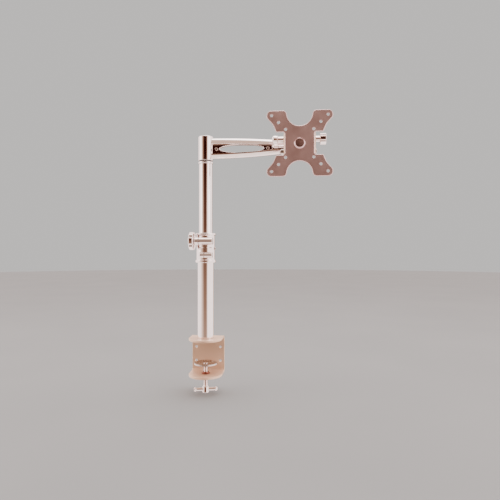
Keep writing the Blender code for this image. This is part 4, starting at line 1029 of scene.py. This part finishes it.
def build_plate():
    """The X-shaped plate with its three squares of holes."""
    thickness = span_of("vesa_plate", "Y")
    plate = pillow("vesa_plate_pressed", plate_outline(), thickness, 1.5 * MM, 8, 0.4 * MM)
    for half in (25 * MM, 37.5 * MM, 50 * MM):
        for x in (-half, half):
            for z in (-half, half):
                boolean(plate, put(hole_tool(2.5 * MM, thickness, 0.35 * MM, 64), (x, z, 0)))
    boolean(plate, hole_tool(5.3 * MM, thickness, 0.2 * MM))
    finish_piece(put(plate, centre_of("vesa_plate"), "-Y"), "vesa_plate")


# ---------------------------------------------------------------- studio

PALE = (0.70, 0.68, 0.665)   # the plain wall, which only the camera sees
LIGHT = 2.6                  # how bright the studio is
# How white the studio in front is, by the height that a mirror looks to.
HEIGHTS = ((-0.55, 0.90), (-0.38, 0.18), (-0.28, 0.14), (-0.20, 0.48), (-0.10, 0.38), (0.20, 0),
           (0.26, 0), (0.38, 0.60), (0.92, 0.66), (0.97, 1))
# Its colours, from the darkest to the whitest.
TONES = ((0, (0.011, 0.001, 0.0006)), (0.15, (0.050, 0.018, 0.011)), (0.40, (0.150, 0.088, 0.060)),
         (0.75, (0.50, 0.37, 0.30)), (1, (1, 0.86, 0.83)))
LAMPS = (("left_box", (-1.6, -0.5, 0.7), 1.1, 7), ("right_box", (1.9, -0.6, 0.8), 1.1, 7),
         ("top_box", (0.2, 0.2, 2.0), 1.4, 24))   # name, place, size in metres and watts
LAMP_COLOUR = (1.0, 0.97, 0.95)
LAMP_AIM = Vector((0.08, 0, 0.15))
CAMERA_PLACE = (0.1652, -0.8566, 0.1692)
CAMERA_RISE, CAMERA_TURN = 0.0034, 0.0930   # radians up from level, and left of straight ahead
LENS, SENSOR = 32.59, 36                    # millimetres
FLOOR_RADIUS = 6


def build_floor():
    """A plain pale floor under the clamp screw."""
    mesh = bpy.data.meshes.new("floor")
    shape = bmesh.new()
    bmesh.ops.create_circle(shape, cap_ends=True, segments=MEDIUM, radius=FLOOR_RADIUS)
    shape.to_mesh(mesh)
    shape.free()
    floor = new_object("floor", mesh)
    floor.location = (0, 0, cad_bounds[0][2] - 1 * MM)
    n = Finish("floor_paper")
    tone = n.noise(3, 2)
    n.surface(Base_Color=n.tint(tone, (0.235, 0.250, 0.255), (0.25, 0.265, 0.27)), Roughness=0.9)
    mesh.materials.append(n.material)
    floor.visible_glossy = False


def build_world():
    """A white studio with a dark gap in front and a narrower one behind, for mirrors to look into."""
    world = bpy.data.worlds.new("studio")
    bpy.context.scene.world = world
    world.use_nodes = True
    world.node_tree.nodes.clear()
    n = Nodes(world.node_tree)

    def between(value, start, end):
        return n.ramp(value, 0, 1, start, end)

    def product(first, second):
        return n.calculate("MULTIPLY", first, second)

    def rest_of(value):
        return n.calculate("SUBTRACT", 1, value)

    looks_to = n.add("ShaderNodeTexCoord").outputs["Generated"]
    x, y, z = n.add("ShaderNodeSeparateXYZ", Vector=looks_to).outputs
    left, right, behind = between(x, -0.22, -1), between(x, 0.36, 0.66), between(y, -0.15, 0.15)
    off_centre = n.calculate("ABSOLUTE", x, 0)
    back_gap = product(between(y, 0.55, 0.85), between(off_centre, 0.55, 0.15))
    behind = product(behind, rest_of(product(back_gap, between(z, 0.30, 0.20))))
    side = n.calculate("MAXIMUM", n.calculate("MAXIMUM", left, right), behind)
    levels = [((height + 1) / 2, (level,) * 3) for height, level in HEIGHTS]
    front = n.bands(between(z, -1, 1), levels)
    reflected = n.bands(rest_of(product(rest_of(side), rest_of(front))), TONES)
    is_camera = n.add("ShaderNodeLightPath").outputs["Is Camera Ray"]
    seen = n.mix(is_camera, reflected, [tone / LIGHT for tone in PALE])
    background = n.add("ShaderNodeBackground", Color=seen, Strength=LIGHT)
    n.add("ShaderNodeOutputWorld", Surface=background.outputs["Background"])


def build_lights():
    """Two soft side boxes and a top box."""
    for name, place, size, power in LAMPS:
        lamp = bpy.data.lights.new(name, "AREA")
        lamp.size = size
        lamp.energy = power
        lamp.color = LAMP_COLOUR
        holder = new_object(name, lamp)
        holder.location = place
        holder.rotation_euler = (LAMP_AIM - Vector(place)).to_track_quat("-Z", "Y").to_euler()


def build_camera():
    """A nearly level camera in front of the pole, turned a little to the left of straight ahead."""
    lens = bpy.data.cameras.new("camera")
    lens.sensor_width = SENSOR
    lens.lens = LENS
    camera = new_object("camera", lens)
    camera.location = CAMERA_PLACE
    camera.rotation_euler = (math.pi / 2 + CAMERA_RISE, 0, CAMERA_TURN)
    bpy.context.scene.camera = camera


def dress_hidden_nodes():
    """Give the CAD pieces that stay, all of them inside others, their procedural materials."""
    for node in ("base_plug", "upper_tube_foot", "hub_liner", "retaining_washer", "retaining_screw",
                 "tilt_bolt"):
        piece = frame["nodes"][node]
        piece.data.materials.clear()
        piece.data.materials.append(MATERIALS[SLOT_OF[node]])


build_camera()
build_clamp()
build_clamp_screw()
build_pole()
build_collar()
build_height_knob()
build_arm()
build_head()
build_tilt_axle()
build_tilt_bracket()
build_plate()
dress_hidden_nodes()
build_floor()
build_world()
build_lights()
